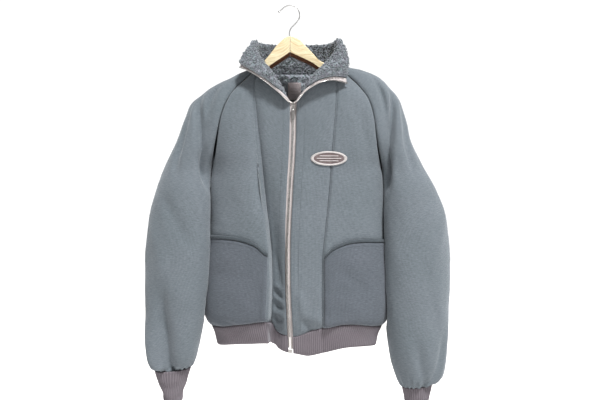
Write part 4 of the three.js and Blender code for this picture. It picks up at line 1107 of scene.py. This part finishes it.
POCKET_EDGES = {}
for side, side_name in SIDES:
    name = f"pocket_{side_name}"
    s = mix(0.03 if side < 0 else 0.012, 0.985, even(64, 0.4))
    top = mouth(side, s)
    k = even(60, 0.3)[:, None]
    p, n = pocket_point(side, s[None, :] + 0 * k, mix(0.006, top[None, :] - BAND - 0.002, k))
    bulge = POCKET_BULGE * np.sin(s * math.pi)[None, :]
    p = p + n * (POCKET_GAP + POCKET + bulge * ease(k, 0, 0.9))[..., None]
    outer = dipped(p, n, 2.0, 1.0, low=2.2, high=0.8, width=2.6)
    cloth(name, outer, p - n * POCKET, KNIT_POCKET, "knit", rests_on=f"front_side_{side_name}")
    POCKET_EDGES[side] = (outer, n)
    k = np.linspace(0, 1, 13)[:, None]
    p, n = pocket_point(side, s[None, :] + 0 * k, mix(top[None, :] - BAND, top[None, :], k))
    full = bulge * 0.97
    height = POCKET_GAP + POCKET + 0.2 + full + 1.5 * np.sqrt(np.clip(1 - (2 * k - 1) ** 2, 0, 1))
    outer = dipped(p + n * height[..., None], n, 1.2, 0.8, width=2.0)
    inner = p + n * (POCKET_GAP + 0.4 + full * 0.9)[..., None]
    GOING[name].append(cloth(f"pocket_band_{side_name}", outer, inner, BINDING, "binding"))

# Collar: knit outside, pile inside
w = even(44, 0.3)[:, None] * 0.999 + 0.001
u = even(190, 0.3)[None, :] * 0.992 + 0.004
p, n = collar_point(u, w), collar_normal(u + 0 * w, w + 0 * u)
p = p + n * waves(p, 51, 40, 0.35)[..., None]
outer = p - n * (0.9 * hill(column_ends(p)[1], 2.0) + 0.4)[..., None]
cloth("collar_shell", p - n * COLLAR_SHELL, outer, KNIT, "knit", rests_on="back")


def collar_pile(u, w):
    """Base of the collar's pile, its height there, and the normal."""
    edge = mix(0.014, 0.022, w)
    place = mix(edge, 1 - edge, u)
    p, n = collar_point(place, w), collar_normal(place, w)
    thick = mix(3.2, PILE, ease(w, 0, 0.3))
    return p, thick, n


def pile_face(p, n, thick, seed):
    """Pile rounded at its edges, with lumps where the curls stand together."""
    a, b = row_ends(p)
    c, d = column_ends(p)
    near = np.minimum(np.minimum(a, b), np.minimum(c, d))
    rounded = np.sqrt(np.clip(1 - (1 - np.clip(near / 9, 0, 1)) ** 2, 0, 1))
    lumps = waves(p, seed, 9, 0.75, 9) + waves(p, seed + 1, 5, 0.4, 9)
    return p + n * (thick * mix(0.25, 1, rounded) + lumps * rounded - 0.8)[..., None]


def curls(name, face, normal, count, seed, material, size=(1.3, 2.3), thick=(0.55, 0.9)):
    """Short curled tufts on a pile face."""
    rng = np.random.default_rng(seed)
    columns = face.shape[1]
    a = face[:-1, :-1]
    area = np.linalg.norm(np.cross(face[:-1, 1:] - a, face[1:, :-1] - a), axis=-1).ravel()
    cells = rng.choice(area.size, count, p=area / area.sum())
    i, j = cells // (columns - 1), cells % (columns - 1)
    fi, fj = rng.random(count)[:, None], rng.random(count)[:, None]
    root = mix(mix(face[i, j], face[i + 1, j], fi), mix(face[i, j + 1], face[i + 1, j + 1], fi), fj)
    n = unit(normal[i, j] + rng.normal(0, 0.25, (count, 3)))
    side = unit(np.cross(n, rng.normal(size=(count, 3))))
    third = np.cross(n, side)
    radius = rng.uniform(*size, count)[:, None]
    wire = rng.uniform(*thick, count)[:, None]
    lean = rng.uniform(-0.5, 0.5, count)[:, None]
    block = []
    for m in range(6):
        angle = mix(-0.9, 3.6, m / 5)
        out = n * math.sin(angle) + side * -math.cos(angle)
        centre = root + (out + side * math.cos(0.9)) * radius + n * 0.2 + third * lean * m * 0.4
        slim = wire * (0.45 if m in (0, 5) else 1.0)
        for turn in np.arange(3) * 2 * math.pi / 3:
            block.append(centre + (out * math.cos(turn) + third * math.sin(turn)) * slim)
    return dress(little_bodies(name, block, 3), material)


u = even(240, 0.15)[None, :] + 0 * np.ones((56, 1))
w = (even(56, 0.2) * 0.995 + 0.002)[:, None] + 0 * u
p, thick, n = collar_pile(u, w)
outer = pile_face(p, n, PILE_GAP + thick, 61)
cloth("collar_pile", outer, p + n * PILE_GAP, PILE_BASE, "pile", rests_on="collar_shell")
GOING["collar_pile"].append(curls("collar_curls", outer[:-1, 1:-1], n[:-1, 1:-1], 3900, 62, PILE_CURLS))

LINING_GAP = 0.5
e = mix(-14 / 18, 14 / 18, even(120, 0.15))[None, :] + np.zeros((46, 1))
v = mix(ARM_V + (1 - ARM_V) * 4 / 9, ARM_V + (1 - ARM_V) * 8.995 / 9, even(46, 0.15))[:, None] + 0 * e
n = -back_normal(e, v)
p = back_point(e, v) + n * (SHELL + LINING_GAP)
outer = pile_face(p, n, LINING, 71)
# The lining takes the lighter copy of the pile, as painted light.
cloth("back_lining", outer, p, LIT_LINING_BASE, "pile", rests_on="back")
GOING["back_lining"].append(
    curls("lining_curls", outer[1:, 1:-1], n[1:, 1:-1], 2100, 72, LIT_LINING_CURLS, (1.0, 1.8), (0.45, 0.7))
)


def lining_point(x, z, height):
    e, v = locate(back_point, x, z, 1, -1.0)
    n = -back_normal(e, v)
    return back_point(e, v) + n * (SHELL + LINING_GAP + LINING + height)[..., None], n


def stitches(name, path, normal, material, pitch=3.4, length=2.4, radius=0.34, count=None):
    """Sewing thread along a line of points: one short raised stitch after the other."""
    along = distances(path)
    count = count or max(int(along[-1] / pitch), 2)
    middle = (np.arange(count) + 0.5) * along[-1] / count
    centre, n = sampled(path, along, middle), unit(sampled(normal, along, middle))
    ahead = unit(sampled(path, along, middle + 0.5) - sampled(path, along, middle - 0.5))
    across = unit(np.cross(ahead, n))
    block = []
    for s, wide, high in ((-0.5, 0.45, -0.3), (-0.3, 1.0, 0.5), (0.3, 1.0, 0.5), (0.5, 0.45, -0.3)):
        for turn in np.arange(5) * 2 * math.pi / 5:
            ring = (across * math.cos(turn) + n * math.sin(turn)) * radius * wide
            block.append(centre + ahead * length * s + ring + n * (0.1 + radius * high))
    return dress(little_bodies(name, block, 5), material)


# Label and hanging loop on the lining
def hem_of(grid):
    """The line on which a rectangle is sewn down, two rows from its edge."""
    return np.concatenate([grid[2, 2:-2], grid[2:-2, -3], grid[-3, 2:-2][::-1], grid[2:-2, 2][::-1]])


x = np.linspace(-6, 25.5, 26)[None, :] + np.zeros((30, 1))
z = np.linspace(-208, -167, 30)[:, None] + 0 * x
p, n = lining_point(x, z, 2.2 + 0 * x)
p = p + n * (waves(p, 81, 22, 0.25) + 0.6)[..., None]
cloth("neck_label", p, p - n * 0.8, LABEL, "label", rests_on="back_lining")
going = GOING["neck_label"]
going.append(stitches("label_stitches", hem_of(p), hem_of(n), PALE_THREAD, 1.6, 1.2, 0.22))
for line in (9, 14, 19):
    bar = stitches(f"label_bar_{line}", p[line, 6:-6], n[line, 6:-6], PALE_THREAD, 0.8, 1.4, 0.35)
    going.append(bar)
a = np.linspace(0, math.pi, 33)[None, :] + np.zeros((5, 1))
r = np.linspace(0, 1, 5)[:, None] + 0 * a
z = -162.5 + np.sin(a) * 7 + (r - 0.5) * 4 * (1 - 0.3 * np.sin(a))
p, n = lining_point(9.7 - np.cos(a) * 10, z, 2.8 + 2 * np.sin(a))
dress(wall("neck_loop_piece", p, p - n * 1.3), LOOP, "neck_loop")
# Zip: two tapes whose metal teeth meet in front and part at the neck, where they run on along the collar
TAPE_EDGE, ZIP_GAP = 9.0, 0.35
BEHIND = SHELL + 0.8


def along_front(side, s, v):
    """A point of the tape at a distance s from the zip's centre, and the way out of the jacket."""
    edge = front_point(side, 0.0, v)
    step = np.maximum(s - PLACKET, 0)
    reach = np.abs(front_point(side, 0.04, v)[..., 0] - edge[..., 0])
    p = front_point(side, 0.04 * step / reach, v)
    p[..., 0] = edge[..., 0] + side * (s - PLACKET)
    p[..., 1] = np.where(s < PLACKET, edge[..., 1], p[..., 1]) + BEHIND
    return p


def along_collar(side, s, w):
    """The same on the collar's edge: s grows from the teeth towards the pile, 0 at the collar's edge."""
    end = 0.0 if side < 0 else 1.0
    inward = -side * 0.02
    edge = collar_point(end, w)
    unit_length = np.linalg.norm(collar_point(end + inward, w) - edge, axis=-1) / 0.02
    into = unit(collar_point(end + inward / 4, w) - edge)
    on = collar_point(end - side * np.maximum(s, 0) / unit_length, w)
    p = np.where((s > 0)[..., None], on, edge + into * s[..., None])
    return p, collar_normal(end + inward / 4 + 0 * s, w)


def bridged(lower, upper, rows=14):
    """Joins two grids of rows by a smooth stretch between them."""
    a, b = lower[-1], upper[0]
    reach = np.linalg.norm(b - a, axis=-1).mean()
    ta, tb = unit(lower[-1] - lower[-2]) * reach, unit(upper[1] - upper[0]) * reach
    k = np.linspace(0, 1, rows + 2)[1:-1, None, None]
    start, leave = 2 * k**3 - 3 * k**2 + 1, k**3 - 2 * k**2 + k
    return np.concatenate([lower, start * a + leave * ta + (1 - start) * b + (k**3 - k**2) * tb, upper])


def zip_face(side, front_s, collar_s, depth, lift):
    """A face along the whole zip: its distances from the zip's centre and from the collar's edge, how far
    it lies behind the front's tape, and how far it stands off the collar."""
    v, w = np.linspace(-0.052, 1.0, 150)[:, None], np.linspace(0.09, 0.985, 34)[:, None]
    lower = along_front(side, front_s + 0 * v, v)
    lower[..., 1] += depth
    p, n = along_collar(side, collar_s + 0 * w, w)
    return bridged(lower, p + n * lift)


# A tooth's sections from its tip to the tape, as place, half-thickness and half-height, and its outline
TOOTH = [(-1.5, 0.55, 0.28), (-1.1, 0.8, 0.5), (0.2, 0.95, 0.5), (1.0, 1.15, 0.68), (1.5, 0.9, 0.5)]
TOOTH_OUTLINE = [(-1, -0.6), (-0.6, -1), (0.6, -1), (1, -0.6), (1, 0.6), (0.6, 1), (-0.6, 1), (-1, 0.6)]
TOOTH_PITCH = 2.5
for side, side_name in SIDES:
    k = np.linspace(0, 1, 13)[None, :]
    front_s, collar_s = mix(1.6, TAPE_EDGE, k), mix(-4.9, 5.5, k)
    name, front = f"zip_tape_{side_name}", f"front_centre_{side_name}"
    faces = [zip_face(side, front_s, collar_s, depth, 0.3 + depth) for depth in (0.0, 0.9)]
    cloth(name, *faces, TAPE, "zip_tape", f"zip_{side_name}", rests_on=front)
    # A raised cord along the tape's edge carries the teeth
    ring = []
    for q in np.arange(8) * math.pi / 4:
        out, depth = 0.6 * math.cos(q), 0.2 - 0.8 * math.sin(q)
        ring.append(zip_face(side, 2.5 + out, -4.1 + out, depth, depth + 0.4)[:, 0])
    ring = np.stack(ring + [ring[0]], axis=1)
    core = ring[:, :-1].mean(axis=1, keepdims=True)
    bead = wall(f"zip_cord_{side_name}", ring, core + (ring - core) * 0.2, closed_from=0)
    GOING[name].append(dress(bead, TAPE))
    middle, inner, front = (
        zip_face(side, ZIP_GAP + s, edge, depth, 0.3 + depth)[:, 0]
        for s, edge, depth in ((0.75, -5.6, -0.6), (2.0, -4.6, -0.6), (0.75, -5.6, -1.6))
    )
    along = distances(middle)
    count = int(along[-1] / TOOTH_PITCH)
    places = (np.arange(count) + (0.25 if side < 0 else 0.75)) * along[-1] / count
    centre, inner, front = (sampled(line, along, places) for line in (middle, inner, front))
    across, out = unit(inner - centre), unit(front - centre)
    ahead = unit(np.cross(across, out))
    block = []
    for x, size_y, size_z in TOOTH:
        for y, z in TOOTH_OUTLINE:
            block.append(centre + across * x + out * (y * size_y) + ahead * (z * size_z))
    teeth = little_bodies(f"zip_teeth_{side_name}", block, 8, smooth=False)
    GOING[name].append(dress(teeth, TEETH_METAL))


# Metal parts


def bevelled(bm, width, segments=2, angle=0.5):
    edges = [e for e in bm.edges if e.is_manifold and e.calc_face_angle(0) > angle]
    bmesh.ops.bevel(
        bm, geom=edges, offset=width, segments=segments, profile=0.6, affect="EDGES", clamp_overlap=True
    )


def from_bmesh(name, bm, at=(0, 0, 0)):
    bmesh.ops.translate(bm, vec=tuple(at), verts=bm.verts)
    bmesh.ops.scale(bm, vec=(MM, MM, MM), verts=bm.verts)
    bmesh.ops.recalc_face_normals(bm, faces=bm.faces)
    mesh = bpy.data.meshes.new(name)
    bm.to_mesh(mesh)
    bm.free()
    for face in mesh.polygons:
        face.use_smooth = True
    mesh.set_sharp_from_angle(angle=0.6)
    made = bpy.data.objects.new(name, mesh)
    bpy.context.collection.objects.link(made)
    return made


def slab(bm, outline, hole, y0, y1):
    """An outline in X and Z between two depths, with an optional hole of as many points."""
    lines = [line for line in (outline, hole) if line]
    rings = [[bm.verts.new((x, y, z)) for x, z in line] for y in (y0, y1) for line in lines]
    for a, b in ((0, 1), (3, 2), (2, 0), (1, 3)) if hole else ((0, 1),):
        for i in range(len(outline)):
            j = (i + 1) % len(outline)
            bm.faces.new((rings[a][i], rings[a][j], rings[b][j], rings[b][i]))
    if not hole:
        bm.faces.new(rings[0][::-1])
        bm.faces.new(rings[1])


def rounded_box(half_w, low, high, corner, count=10):
    points = []
    for cx, cz, start in (
        (half_w - corner, high - corner, 0), (-half_w + corner, high - corner, 90),
        (-half_w + corner, low + corner, 180), (half_w - corner, low + corner, 270),
    ):
        for i in range(count):
            a = math.radians(start + 90 * i / (count - 1))
            points.append((cx + corner * math.cos(a), cz + corner * math.sin(a)))
    return points


HINGE = np.array([8.04, -89.71, -252.0])
TAB_LENGTH, TAB_TOP = 21.0, 0.6

bm = bmesh.new()
outline = [(x * (1 - 0.22 * ease(-z, -1, 6)), z) for x, z in rounded_box(4.5, -6, 6, 2.2)]
slab(bm, outline, None, 1.35, 3.35)
bevelled(bm, 0.45, 3)
dress(from_bmesh("zip_slider_body", bm, HINGE - (0, 0, 2)), SLIDER_METAL, "zip_slider")
# Bridge: an arched strap over the pull's bar, with its radii, the depth of its legs and half its width
BRIDGE_IN, BRIDGE_OUT, BRIDGE_LEG, BRIDGE_HALF = 1.3, 2.4, 1.4, 1.2


def strap(radius):
    arch = [(radius * math.cos(a), radius * math.sin(a)) for a in np.radians(np.linspace(-90, 90, 17))]
    return [(-BRIDGE_LEG, -radius)] + arch + [(-BRIDGE_LEG, radius)]


bm = bmesh.new()
loop = strap(BRIDGE_OUT) + strap(BRIDGE_IN)[::-1]
left, right = ([bm.verts.new((x, -y, z)) for y, z in loop] for x in (-BRIDGE_HALF, BRIDGE_HALF))
count = len(loop)
for i in range(count):
    bm.faces.new((left[i], left[(i + 1) % count], right[(i + 1) % count], right[i]))
for i in range(count // 2 - 1):
    j = count - 1 - i
    bm.faces.new((left[i], left[j], left[j - 1], left[i + 1]))
    bm.faces.new((right[i], right[i + 1], right[j - 1], right[j]))
bmesh.ops.recalc_face_normals(bm, faces=bm.faces)
bevelled(bm, 0.3, 2, 0.9)
dress(from_bmesh("zip_bridge", bm, HINGE), SLIDER_METAL)
# Pull tab with its slot, and a raised rim round a plain grip
bm = bmesh.new()
outline = rounded_box(3.3, TAB_TOP - TAB_LENGTH, TAB_TOP, 1.5)
outline = [(x * (1 - 0.16 * ease(z, -9, 0.6)), z) for x, z in outline]
slab(bm, outline, rounded_box(1.9, TAB_TOP - 7.2, TAB_TOP - 1.2, 0.5), -0.6, 0.6)
bevelled(bm, 0.22, 2)
dress(from_bmesh("pull_tab_plate", bm, HINGE), SLIDER_METAL, "zip_pull", body="pull_tab")
bm = bmesh.new()
rim = rounded_box(2.5, TAB_TOP - 20.1, TAB_TOP - 8.4, 1.0)
slab(bm, rim, rounded_box(2.0, TAB_TOP - 19.6, TAB_TOP - 8.9, 0.7), -0.85, -0.55)
bevelled(bm, 0.08, 1)
dress(from_bmesh("pull_tab_rim", bm, HINGE), SLIDER_METAL, body="pull_tab")
low, high = (np.array(corner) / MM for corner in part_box("zip_box"))
bm = bmesh.new()
centre, half = (low + high) / 2, (high - low) / 2
slab(bm, rounded_box(half[0], -half[2], half[2], 0.8), None, -half[1], half[1])
bevelled(bm, 0.4, 2)
for z in (-1.2, 1.2):
    slab(bm, rounded_box(half[0] * 0.72, z - 0.5, z + 0.5, 0.3), None, -half[1] - 0.3, -half[1] + 0.2)
dress(from_bmesh("zip_box_metal", bm, centre), SLIDER_METAL, "zip_box")
for side, side_name in SIDES:
    points, normals = along_collar(side, np.array([-5.3, -3.0, -5.3]), np.array([0.99, 0.99, 0.97]))
    (p, inner, q), n = points, normals[0]
    up, across = unit(p - q), unit(inner - p)
    out = np.cross(across, up)
    bm = bmesh.new()
    slab(bm, rounded_box(1.3, -0.3, 2.6, 0.5, 6), None, -1.1, 1.1)
    bevelled(bm, 0.3, 2)
    for vert in bm.verts:
        x, y, z = vert.co
        vert.co = Vector((p + n * 0.4 + across * x + out * y + up * z).tolist())
    dress(from_bmesh(f"zip_stop_{side_name}_metal", bm), SLIDER_METAL, f"zip_stop_{side_name}")

# Topstitching
for side, side_name in SIDES:
    v = np.linspace(0.012, 0.985, 420)
    share = seam_share(side, v)
    span = np.abs(seam_x(side, front_point(side, share, v)[..., 2]) - front_point(side, 0, v)[..., 0])
    for part, name, distance, dip, e in (
        ("centre", f"placket_stitches_{side_name}_1", 3.2, 1.2, share * 3.2 / span),
        ("centre", f"placket_stitches_{side_name}_2", 9.5, 1.2, share * 9.5 / span),
        ("side", f"seam_stitches_{side_name}_1", 3.4, 1.5, seam_share(side, v, 3.4)),
    ):
        p, n = front_cloth(side, e, v)
        line = stitches(name, p - n * dip * hill(distance, SEAM_WIDTH), n, THREAD)
        GOING[f"front_{part}_{side_name}"].append(line)
    outer, n = POCKET_EDGES[side]
    for number, edge in ((1, np.s_[-4]), (2, np.s_[:, 3])):
        line = stitches(f"pocket_stitches_{side_name}_{number}", outer[edge], n[edge], THREAD)
        GOING[f"pocket_{side_name}"].append(line)

# Oval badge: a plain woven oval with three plain bars, and a satin-stitched border
BADGE_X, BADGE_Z, BADGE_HALF_WIDTH, BADGE_HALF_HEIGHT = 85.0, -357.0, 38.0, 15.0


def badge_point(x, z, height):
    e, v = locate(lambda a, b: front_point(1, a, b), BADGE_X + x, BADGE_Z + z, 1)
    p, n = front_cloth(1, e, v)
    return p + n * (height + 0.6)[..., None], n


def oval(across, up, a):
    """X and Z on an oval whose half-axes are given as shares of the badge's."""
    return BADGE_HALF_WIDTH * across * np.cos(a), BADGE_HALF_HEIGHT * up * np.sin(a)


r = np.linspace(0.02, 1, 12)[:, None]
a = np.linspace(0, 2 * math.pi, 73)[None, :]
x, z = oval(0.97 * r, 0.95 * r, a)
p, n = badge_point(x, z, 1.0 + 0 * x)
q = p - n * 1.2
p[:, -1], q[:, -1] = p[:, 0], q[:, 0]
uv = np.stack([x, z], axis=-1) * MM
under = "front_side_right"
badge = cloth("badge_cloth", p, q, BADGE_FILL, "badge", "badge", rests_on=under, closed_from=0, uv=uv)
going = GOING["badge_cloth"]
size = (2 * BADGE_HALF_WIDTH * MM, 2 * BADGE_HALF_HEIGHT * MM)
SHEETS[-1] = (badge, size, math.pi / 4 * size[0] * size[1], [under], going)
# The border's threads lie side by side. Each has five sections: how far out they lie, and how high
a = np.linspace(0, 2 * math.pi, 241)[:-1]
rings = []
for s, height in ((0.86, 0.9), (0.90, 1.75), (0.95, 2.0), (1.0, 1.7), (1.03, 0.2)):
    x, z = oval(s, s - 0.02 * (1 - s) - 0.06 * (s < 0.96), a)
    rings.append(badge_point(x, z, height + 0 * a)[0])
rings = np.stack(rings, axis=1)
tangent = unit(np.roll(rings, -1, axis=0) - np.roll(rings, 1, axis=0))
normal = badge_point(*oval(1, 1, a), 0 * a)[1]
pitch = np.linalg.norm(np.roll(rings[:, 2], -1, axis=0) - rings[:, 2], axis=-1)[:, None] * 0.52
threads = []
for m in range(5):
    for turn in np.arange(6) * math.pi / 3:
        threads.append(rings[:, m] + tangent[:, m] * math.cos(turn) * pitch + normal * math.sin(turn) * 0.45)
going.append(dress(little_bodies("badge_border", threads, 6), BADGE_EDGE))
BAR_PITCH = 0.55
for number, (z, half) in enumerate(((5.2, 20), (0.0, 26), (-5.2, 20))):
    x = np.linspace(-half, half, 60)
    p, n = badge_point(x, z + 0 * x, 1.1 + 0 * x)
    count = int(2 * half / BAR_PITCH)
    going.append(stitches(f"badge_bar_{number}", p, n, BADGE_EDGE, BAR_PITCH, 0.9, 0.8, count))

# Wooden hanger in two arms that meet in the middle
HANGER = Table(
    "x top bottom half_depth",
    [-213, -228, -234, 4],
    [-204, -216, -236, 7],
    [-165, -187.7, -212, 8],
    [-131, -171.4, -196, 8],
    [-101, -157.6, -182, 8.5],
    [-73, -149, -169, 8.5],
    [-66, -141, -162, 8.8],
    [-57.5, -126.3, -155, 9],
    [-46, -112.5, -146, 9],
    [-32, -94, -136, 9],
    [-16, -78, -125.5, 9],
    [-6, -71.8, -118.8, 9],
    [0, -71.1, -114.8, 9],
    [8, -71.6, -118.4, 9],
    [20, -76.5, -124, 9],
    [34.5, -91.8, -130.5, 9],
    [52.9, -111, -140, 9],
    [66.7, -126.3, -150, 9],
    [92, -138, -162, 9],
    [105, -140.9, -165, 8.5],
    [138, -150, -174, 8],
    [168, -157, -181, 8],
    [200, -175, -199, 8],
    [216, -192, -212, 7],
    [225, -202, -208, 4],
)


def polyline(name, key):
    k = HANGER.names.index(name)
    return np.interp(key, HANGER.rows[:, 0], HANGER.rows[:, k])


def hanger_ring(x):
    """The arm's section at x: rounded above, and cut off at a slant below on its front."""
    top, bottom, half = (mix(polyline(name, x), HANGER(name, x), 0.35) for name in HANGER.names[1:])
    height = top - bottom
    cut, soft = min(7.0, height / 3), min(3.0, height / 4, half / 2)
    corners = [
        (-half, top, soft), (half, top, soft), (half, bottom, soft),
        (-half + cut, bottom, 1.2), (-half, bottom + cut, 1.2),
    ]
    points = []
    for i, (y, z, radius) in enumerate(corners):
        *after, after_radius = corners[(i + 1) % len(corners)]
        here, before, after = np.array([y, z]), np.array(corners[i - 1][:2]), np.array(after)
        ahead = unit(after - here)
        a, b = here + unit(before - here) * radius, here + ahead * radius
        for k in np.linspace(0, 1, 7):
            points.append(a * (1 - k) ** 2 + here * 2 * k * (1 - k) + b * k**2)
        points.append((b + after - ahead * after_radius) / 2)
    return np.array(points + points[:1])


# The arms' grain starts at different places, so that they don't look alike
for side_name, xs, grain in (
    ("left", np.concatenate([[-213.0], np.linspace(-212, -0.25, 120)]), 0.0),
    ("right", np.concatenate([np.linspace(0.25, 224, 120), [225.0]]), 3.1),
):
    rings = np.stack([np.insert(hanger_ring(x), 0, x, axis=1) for x in xs])
    centre = rings[:, :-1].mean(axis=1, keepdims=True)
    round_it = lengths(rings)[..., 0]
    uv = np.stack([np.abs(xs)[:, None] * MM + grain + 0 * round_it, round_it], axis=-1)
    arm = wall(f"hanger_arm_{side_name}", rings, centre + (rings - centre) * 0.02, closed_from=0, uv=uv)
    dress(arm, WOOD, "hanger")
    # Faces turned downwards take the dark wood: painted shade under the arms.
    arm.data.materials.append(WOOD_PAINTED_SHADE)
    for face in arm.data.polygons:
        if face.normal.z < -0.35:
            face.material_index = 1


def tube(name, path, radius, sides=20, smooth_by=6):
    """A round wire along points, with a radius for each."""
    count = len(path)
    fine = np.linspace(0, count - 1, (count - 1) * smooth_by + 1)
    table = Table("t x y z r", *([i, *p, r] for i, (p, r) in enumerate(zip(path, radius))))
    line = vec(*(table(axis, fine) for axis in "xyz"))
    r = table("r", fine)
    along = unit(np.gradient(line, axis=0))
    first = unit(np.cross(along, np.array([0, 1.0, 0])))
    second = np.cross(along, first)
    a = np.linspace(0, 2 * math.pi, sides + 1)
    ring = first[:, None] * np.cos(a)[None, :, None] + second[:, None] * np.sin(a)[None, :, None]
    outer = line[:, None] + ring * r[:, None, None]
    outer[:, -1] = outer[:, 0]
    inner = line[:, None] + ring * 0.02
    inner[:, -1] = inner[:, 0]
    return wall(name, outer, inner, closed_from=0)


HOOK = [
    (-27, -16, 0.4), (-26.4, -15, 2.2), (-25, -13.6, 2.6), (-23.4, -12.1, 2.2), (-22.4, -11.2, 1.5),
    (-18, -7.2, 1.5), (-10, -1.2, 1.5), (0, 1.5, 1.5), (11, -1.2, 1.5), (19, -9, 1.5), (22.3, -20, 1.5),
    (19.5, -32, 1.5), (10, -43, 1.5), (2.5, -51, 1.5), (-1, -60, 1.5), (-1, -70.6, 1.5),
]
hook = tube("hook_wire", [(x, 0, z) for x, z, _ in HOOK], [r for _, _, r in HOOK])
dress(hook, WIRE_METAL, "hanger_hook")

for piece, flat, area, rests_on, going in SHEETS:
    print(f"cut {piece.name}: {flat[0]:.3f} x {flat[1]:.3f} m, {area:.4f} m2")

# Floor, light and camera
bpy.ops.mesh.primitive_plane_add(size=14, location=(0, 0, -1.3))
floor = bpy.context.active_object
floor.name = "floor"
n = Nodes("floor_pale", (0.86, 0.84, 0.83), 0.9)
colour = n.ramp(n.noise(0.6, 2.0, 0.5), (0.3, (0.84, 0.82, 0.81)), (0.7, (0.88, 0.86, 0.85)))
floor.data.materials.append(n.finish(colour))

world = bpy.data.worlds.new("studio")
bpy.context.scene.world = world
bpy.context.scene.view_settings.view_transform = "Standard"
world.use_nodes = True
nodes, links = world.node_tree.nodes, world.node_tree.links
seen = nodes["Background"]
seen.inputs["Color"].default_value = (1.0, 1.0, 1.0, 1)
seen.inputs["Strength"].default_value = 1.1
light = nodes.new("ShaderNodeBackground")
light.inputs["Color"].default_value = (1.0, 0.99, 0.985, 1)
light.inputs["Strength"].default_value = 0.42
which, mixed = nodes.new("ShaderNodeLightPath"), nodes.new("ShaderNodeMixShader")
links.new(which.outputs["Is Camera Ray"], mixed.inputs[0])
links.new(light.outputs[0], mixed.inputs[1])
links.new(seen.outputs[0], mixed.inputs[2])
links.new(mixed.outputs[0], nodes["World Output"].inputs[0])


def area_light(name, where, aim, size, energy):
    data = bpy.data.lights.new(name, "AREA")
    data.shape, data.size, data.energy = "DISK", size, energy
    made = bpy.data.objects.new(name, data)
    made.location = where
    made.rotation_euler = (Vector(aim) - Vector(where)).to_track_quat("-Z", "Y").to_euler()
    bpy.context.collection.objects.link(made)


sun = bpy.data.objects.new("key", bpy.data.lights.new("key", "SUN"))
sun.data.energy, sun.data.angle = 5.9, math.radians(10)
sun.rotation_euler = (-Vector((0.55, -0.95, 1.9))).to_track_quat("-Z", "Y").to_euler()
bpy.context.collection.objects.link(sun)
area_light("fill", (1.9, -1.4, 0.3), (0, 0, -0.5), 1.6, 6)
area_light("back", (0.8, 2.0, 1.2), (0, 0, -0.4), 1.6, 40)

camera = bpy.data.objects.new("camera", bpy.data.cameras.new("camera"))
camera.location = CAMERA_AT
camera.rotation_euler = (math.pi / 2, 0, 0)
camera.data.sensor_fit = "HORIZONTAL"
camera.data.sensor_width = 36
camera.data.lens = 36 * DISTANCE / MM_PER_PIXEL / 600
camera.data.clip_start, camera.data.clip_end = 0.01, 100
bpy.context.collection.objects.link(camera)
bpy.context.scene.camera = camera

bpy.context.view_layer.update()
